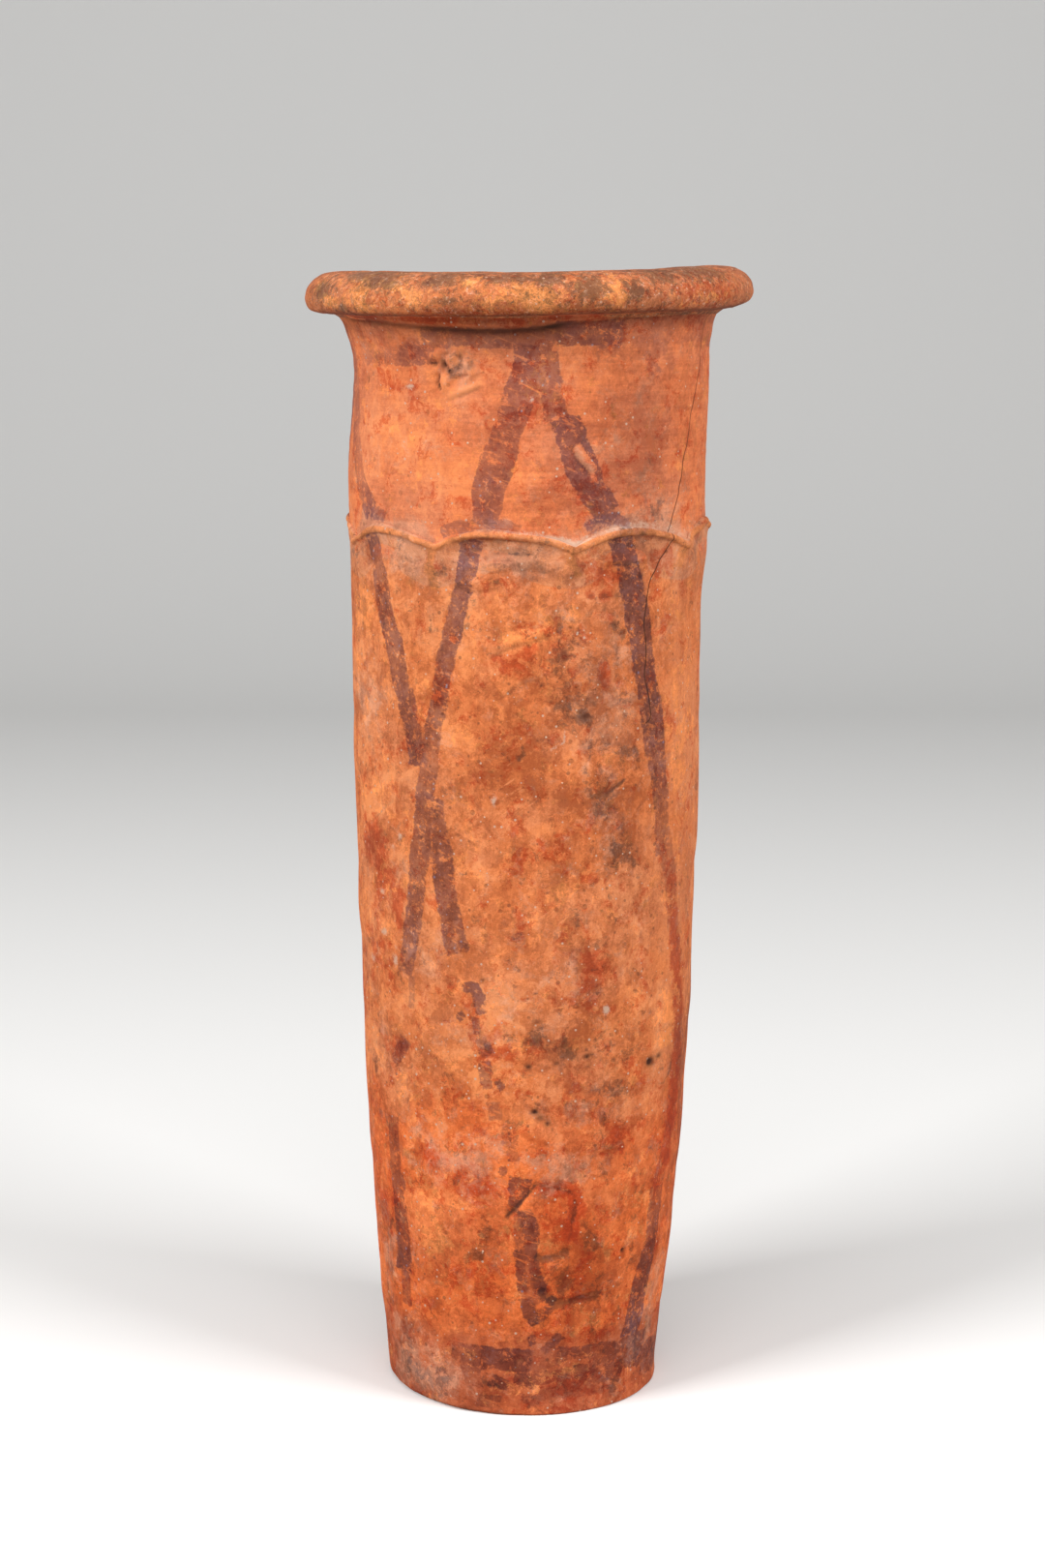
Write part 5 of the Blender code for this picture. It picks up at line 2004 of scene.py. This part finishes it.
@dataclass
class Temper:
    """Pale mineral grains in the clay, scattered over the outside by a Geometry Nodes tree."""

    density: float = 7000.0
    size: tuple[float, float] = (0.09 * MM, 0.32 * MM)
    flatness: float = 0.45
    seed: int = 17
    piece: Object | None = field(default=None, init=False)

    def tree(self) -> NodeTree:
        """Builds the scatter: points on the skin, a flattened grain on each, made real.

        Returns:
            The tree.
        """
        inputs = {
            "Skin": GEOMETRY,
            "Density": FLOAT,
            "Smallest": FLOAT,
            "Largest": FLOAT,
            "Flatness": FLOAT,
            "Seed": INTEGER,
            "Mineral": MATERIAL,
        }
        tree = new_tree("scatter_grains", "GeometryNodeTree", inputs, {"Grains": GEOMETRY})
        bench = Bench(tree)
        given = bench.add("NodeGroupInput").outputs
        points = bench.add(
            "GeometryNodeDistributePointsOnFaces",
            inputs={"Mesh": given["Skin"], "Density": given["Density"], "Seed": given["Seed"]},
        )
        grain = bench.add("GeometryNodeMeshIcoSphere", inputs={"Radius": 1.0, "Subdivisions": 1})
        even = bench.add(
            "FunctionNodeRandomValue",
            {"data_type": "FLOAT"},
            {"Min": 0.0, "Max": 1.0, "Seed": given["Seed"]},
        )
        share = bench.math("POWER", next(s for s in even.outputs if s.enabled), 3.2)
        spread = bench.minus(given["Largest"], given["Smallest"])
        width = bench.plus(given["Smallest"], bench.times(share, spread))
        scale = bench.add(
            "ShaderNodeCombineXYZ",
            inputs={"X": width, "Y": width, "Z": bench.times(width, given["Flatness"])},
        )
        placed = bench.add(
            "GeometryNodeInstanceOnPoints",
            inputs={
                "Points": points.outputs["Points"],
                "Instance": grain.outputs["Mesh"],
                "Rotation": points.outputs["Rotation"],
                "Scale": scale.outputs[0],
            },
        )
        bench.dress(placed.outputs[0], given["Mineral"], "Grains")
        return tree

    def mineral(self) -> Material:
        """Pale limestone grains, some greyer and some stained by the clay.

        Returns:
            The material.
        """
        material = bare_material("temper_grain")
        bench = Bench(material.node_tree)
        place = bench.place()
        tint = bench.ramp(bench.noise(place, 300.0, 2.0, 0.5), 0.40, 0.62)
        colour = bench.mix(tint, (0.66, 0.46, 0.32), (0.58, 0.25, 0.13))
        shader = bench.add("ShaderNodeBsdfPrincipled", inputs={"Base Color": colour})
        shader.inputs["Roughness"].default_value = 0.7
        bench.add("ShaderNodeOutputMaterial", inputs={"Surface": shader.outputs[0]})
        return material

    def build(self, members: Sequence[ClayMember]) -> Object:
        """Scatters the grains over the outside of the members.

        Args:
            members: The finished clay members.

        Returns:
            The grains as one piece.
        """
        skin = outside_skin(members)
        smallest, largest = self.size
        values = {
            "Density": self.density,
            "Smallest": smallest,
            "Largest": largest,
            "Flatness": self.flatness,
            "Seed": self.seed,
            "Mineral": self.mineral(),
        }
        mesh = run_tree(self.tree(), skin, values)
        mesh.shade_smooth()
        self.piece = put_in_scene("temper_grains", mesh)
        return self.piece


def run_tree(tree: NodeTree, source: Mesh, values: dict) -> Mesh:
    """Runs a Geometry Nodes tree on a mesh.

    Args:
        tree: The tree, whose first input is the geometry.
        source: The mesh that goes in. It is removed.
        values: The tree's other inputs by name.

    Returns:
        What comes out, as a plain mesh.
    """
    carrier = put_in_scene(tree.name, source)
    modifier = carrier.modifiers.new(tree.name, "NODES")
    modifier.node_group = tree
    for item in tree.interface.items_tree:
        if item.in_out == "INPUT" and item.name in values:
            modifier[item.identifier] = values[item.name]
    graph = bpy.context.evaluated_depsgraph_get()
    mesh = bpy.data.meshes.new_from_object(carrier.evaluated_get(graph), depsgraph=graph)
    keep_one_finish(mesh)
    carrier.modifiers.remove(modifier)
    bpy.data.objects.remove(carrier)
    bpy.data.meshes.remove(source)
    return mesh


def keep_one_finish(mesh: Mesh) -> None:
    """Drops the empty material places that a tree leaves on a mesh.

    Args:
        mesh: The mesh that came out of the tree.
    """
    finish = next(material for material in mesh.materials if material)
    mesh.materials.clear()
    mesh.materials.append(finish)
    mesh.polygons.foreach_set("material_index", np.zeros(len(mesh.polygons), dtype=np.int32))


def read_points(mesh: Mesh) -> Array:
    """A mesh's vertices as rows of x, y and z."""
    flat = np.empty(len(mesh.vertices) * 3, dtype=np.float32)
    mesh.vertices.foreach_get("co", flat)
    return flat.reshape(-1, 3).astype(float)


def read_floats(mesh: Mesh, name: str) -> Array:
    """A float attribute of a mesh's vertices."""
    flat = np.empty(len(mesh.vertices), dtype=np.float32)
    mesh.attributes[name].data.foreach_get("value", flat)
    return flat.astype(float)


def store_floats(mesh: Mesh, name: str, values: Array) -> None:
    """Stores a float attribute on a mesh's vertices."""
    found = mesh.attributes.get(name) or mesh.attributes.new(name, "FLOAT", "POINT")
    found.data.foreach_set("value", np.ascontiguousarray(values, dtype=np.float32))


def read_faces(mesh: Mesh) -> Array:
    """A mesh's triangles as rows of three vertex numbers.

    Args:
        mesh: The mesh.

    Returns:
        One row for each triangle.
    """
    mesh.calc_loop_triangles()
    flat = np.empty(len(mesh.loop_triangles) * 3, dtype=np.int32)
    mesh.loop_triangles.foreach_get("vertices", flat)
    return flat.reshape(-1, 3)


def face_outwards(mesh: Mesh) -> None:
    """Turns a closed mesh's faces round where its volume comes out below zero.

    Args:
        mesh: The closed mesh.
    """
    points = read_points(mesh)
    corners = points[read_faces(mesh)]
    volume = np.einsum("ij,ij->i", corners[:, 0], np.cross(corners[:, 1], corners[:, 2])).sum()
    if volume < 0.0:
        mesh.flip_normals()


def share_normals(members: Sequence[ClayMember]) -> None:
    """Gives members the same normals where their skins meet, so that the joints don't show.

    Args:
        members: Members of the wall whose edge rows lie on each other.
    """
    grain = 0.002 * MM
    places, sums, spans = [], [], []
    for member in members:
        mesh = member.piece.data
        points = read_points(mesh)
        skin = read_floats(mesh, "skin")
        faces = read_faces(mesh)
        faces = faces[np.abs(skin[faces]).min(axis=1) > ON_SKIN]
        corners = points[faces]
        normal = np.cross(corners[:, 1] - corners[:, 0], corners[:, 2] - corners[:, 0])
        total = np.zeros_like(points)
        for corner in range(3):
            np.add.at(total, faces[:, corner], normal)
        places.append(points)
        sums.append(total)
        spans.append(len(points))
    keys = np.round(np.vstack(places) / grain).astype(np.int64)
    _, index = np.unique(keys, axis=0, return_inverse=True)
    merged = np.zeros((index.max() + 1, 3))
    np.add.at(merged, index.ravel(), np.vstack(sums))
    shared = merged[index.ravel()]
    starts = np.cumsum([0, *spans])
    for member, start, end in zip(members, starts, starts[1:]):
        mesh = member.piece.data
        own = np.array([tuple(v.normal) for v in mesh.vertices])
        normals = shared[start:end]
        size = np.linalg.norm(normals, axis=1, keepdims=True)
        normals = np.where(size > 0.0, normals / np.where(size > 0.0, size, 1.0), own)
        mesh.normals_split_custom_set_from_vertices(normals.tolist())


def outside_skin(members: Sequence[ClayMember]) -> Mesh:
    """Joins the outside faces of members into one loose mesh.

    Args:
        members: The finished clay members.

    Returns:
        The mesh.
    """
    points, faces, offset = [], [], 0
    for member in members:
        mesh = member.piece.data
        skin = read_floats(mesh, "skin")
        triangles = read_faces(mesh)
        clear = read_points(mesh)[:, 2] > 1.0 * MM
        triangles = triangles[(skin[triangles].min(axis=1) > ON_SKIN) & clear[triangles].all(axis=1)]
        points.append(read_points(mesh))
        faces.append(triangles + offset)
        offset += len(skin)
    mesh = bpy.data.meshes.new("outside_skin")
    mesh.from_pydata(np.vstack(points).tolist(), [], np.vstack(faces).tolist())
    return mesh


class Lamp(NamedTuple):
    """A soft square lamp: its power in watts, side in metres, and place."""

    name: str
    power: float
    size: float
    place: tuple[float, float, float]


@dataclass(frozen=True)
class Studio:
    """A pale sweep, soft lamps and the camera, none of them part of the jar."""

    camera_height: float = 280.0 * MM
    camera_back: float = 694.4 * MM
    camera_side: float = -1.55 * MM
    camera_pitch: float = 10.333
    camera_field: float = 31.11
    camera_near: float = 0.01
    lamps: tuple[Lamp, ...] = (
        Lamp("key", 24.0, 0.60, (-1.15, -0.78, 1.05)),
        Lamp("fill", 20.0, 0.65, (1.20, -0.75, 0.95)),
        Lamp("top", 5.0, 0.60, (0.00, -0.45, 1.25)),
    )
    lamp_target: tuple[float, float, float] = (0.0, 0.0, 0.15)
    sky: float = 0.20
    sky_colour: Colour = (1.0, 0.99, 0.97)
    sweep: Colour = (0.86, 0.855, 0.845)
    sweep_bounce: Colour = (0.42, 0.42, 0.41)
    sweep_bend: float = 0.8
    sweep_back: float = 1.1
    sweep_half: float = 3.0
    sweep_top: float = 3.5
    sweep_steps: int = 24

    def camera(self) -> None:
        """Places the camera level with the rim, looking a little down."""
        data = bpy.data.cameras.new("camera")
        data.sensor_fit = "VERTICAL"
        data.angle_y = math.radians(self.camera_field)
        data.clip_start = self.camera_near
        eye = put_in_scene("camera", data)
        eye.location = (self.camera_side, -self.camera_back, self.camera_height)
        eye.rotation_euler = (math.radians(90.0 - self.camera_pitch), 0.0, 0.0)
        bpy.context.scene.camera = eye

    def lights(self) -> None:
        """A large key lamp at the left, a weaker one at the right, one above, and an even sky."""
        for lamp in self.lamps:
            data = bpy.data.lights.new(lamp.name, "AREA")
            data.energy = lamp.power
            data.size = lamp.size
            hung = put_in_scene(lamp.name, data)
            hung.location = lamp.place
            aim = Vector(self.lamp_target) - Vector(lamp.place)
            hung.rotation_euler = aim.to_track_quat("-Z", "Y").to_euler()
        world = bpy.data.worlds.new("studio")
        bpy.context.scene.world = world
        world.use_nodes = True
        sky = world.node_tree.nodes["Background"].inputs
        sky["Color"].default_value = (*self.sky_colour, 1.0)
        sky["Strength"].default_value = self.sky

    def backdrop(self) -> None:
        """A floor that sweeps up into a wall behind the jar."""
        bend = self.sweep_bend
        profile = [(-self.sweep_half, 0.0), (self.sweep_back, 0.0)]
        for turn in np.radians(np.linspace(-90.0, 0.0, self.sweep_steps + 1))[1:]:
            profile.append((self.sweep_back + bend * math.cos(turn), bend + bend * math.sin(turn)))
        profile.append((self.sweep_back + bend, self.sweep_top))
        points = [(x, y, z) for y, z in profile for x in (-self.sweep_half, self.sweep_half)]
        faces = [(2 * i, 2 * i + 1, 2 * i + 3, 2 * i + 2) for i in range(len(profile) - 1)]
        mesh = bpy.data.meshes.new("sweep")
        mesh.from_pydata(points, [], faces)
        mesh.shade_smooth()
        mesh.materials.append(self.paper())
        put_in_scene("sweep", mesh)

    def paper(self) -> Material:
        """The sweep's matt paper, which looks paler than the light that it throws back on the jar.

        Returns:
            The material.
        """
        material = bare_material("sweep")
        bench = Bench(material.node_tree)
        light_path = bench.add("ShaderNodeLightPath").outputs
        seen = light_path["Is Camera Ray"]
        for ray in ("Is Glossy Ray", "Is Transmission Ray"):
            seen = bench.math("MAXIMUM", seen, light_path[ray])
        colour = bench.mix(seen, self.sweep_bounce, self.sweep)
        shader = bench.add("ShaderNodeBsdfPrincipled", inputs={"Base Color": colour})
        shader.inputs["Roughness"].default_value = 0.9
        shader.inputs["Specular IOR Level"].default_value = 0.1
        bench.add("ShaderNodeOutputMaterial", inputs={"Surface": shader.outputs[0]})
        return material

    def set_up(self) -> None:
        """Builds the studio."""
        self.camera()
        self.lights()
        self.backdrop()
        bpy.context.scene.view_settings.view_transform = "Standard"


def main() -> None:
    """Builds the studio and the jar from the foot up."""
    Studio().set_up()
    jar = Jar(FrameRuler(), Arcade(), Wheel())
    glazes = Glazes()
    wall = WALL_FINISH.material(glazes)
    coils = [WallCoil(jar, node, "wall_clay", WALL_FINISH) for node in COIL_NODES]
    foot = FootPad(jar, "base_pad", "foot_clay", FOOT_FINISH)
    collar = Collar(jar, "collar", "collar_clay", COLLAR_FINISH)
    band = WavyBand(jar, "wavy_band", "band_clay", BAND_FINISH)
    rim = RimRoll(jar, "rim_roll", "rim_clay", RIM_FINISH)
    for coil in coils:
        coil.build(wall)
    for member in (foot, collar, band, rim):
        member.build(member.finish.material(glazes))
    share_normals((foot, *coils, collar))
    members = (foot, *coils, collar, band, rim)
    for member in members:
        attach(member.piece, BODY)
        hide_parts(member.node)
        LOG.info("%s: %d faces", member.piece.name, len(member.piece.data.polygons))
    grains = Temper()
    grains.build((foot, *coils, collar, rim))
    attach(grains.piece, BODY)
    LOG.info("%s: %d faces", grains.piece.name, len(grains.piece.data.polygons))


if __name__ == "__main__":
    main()
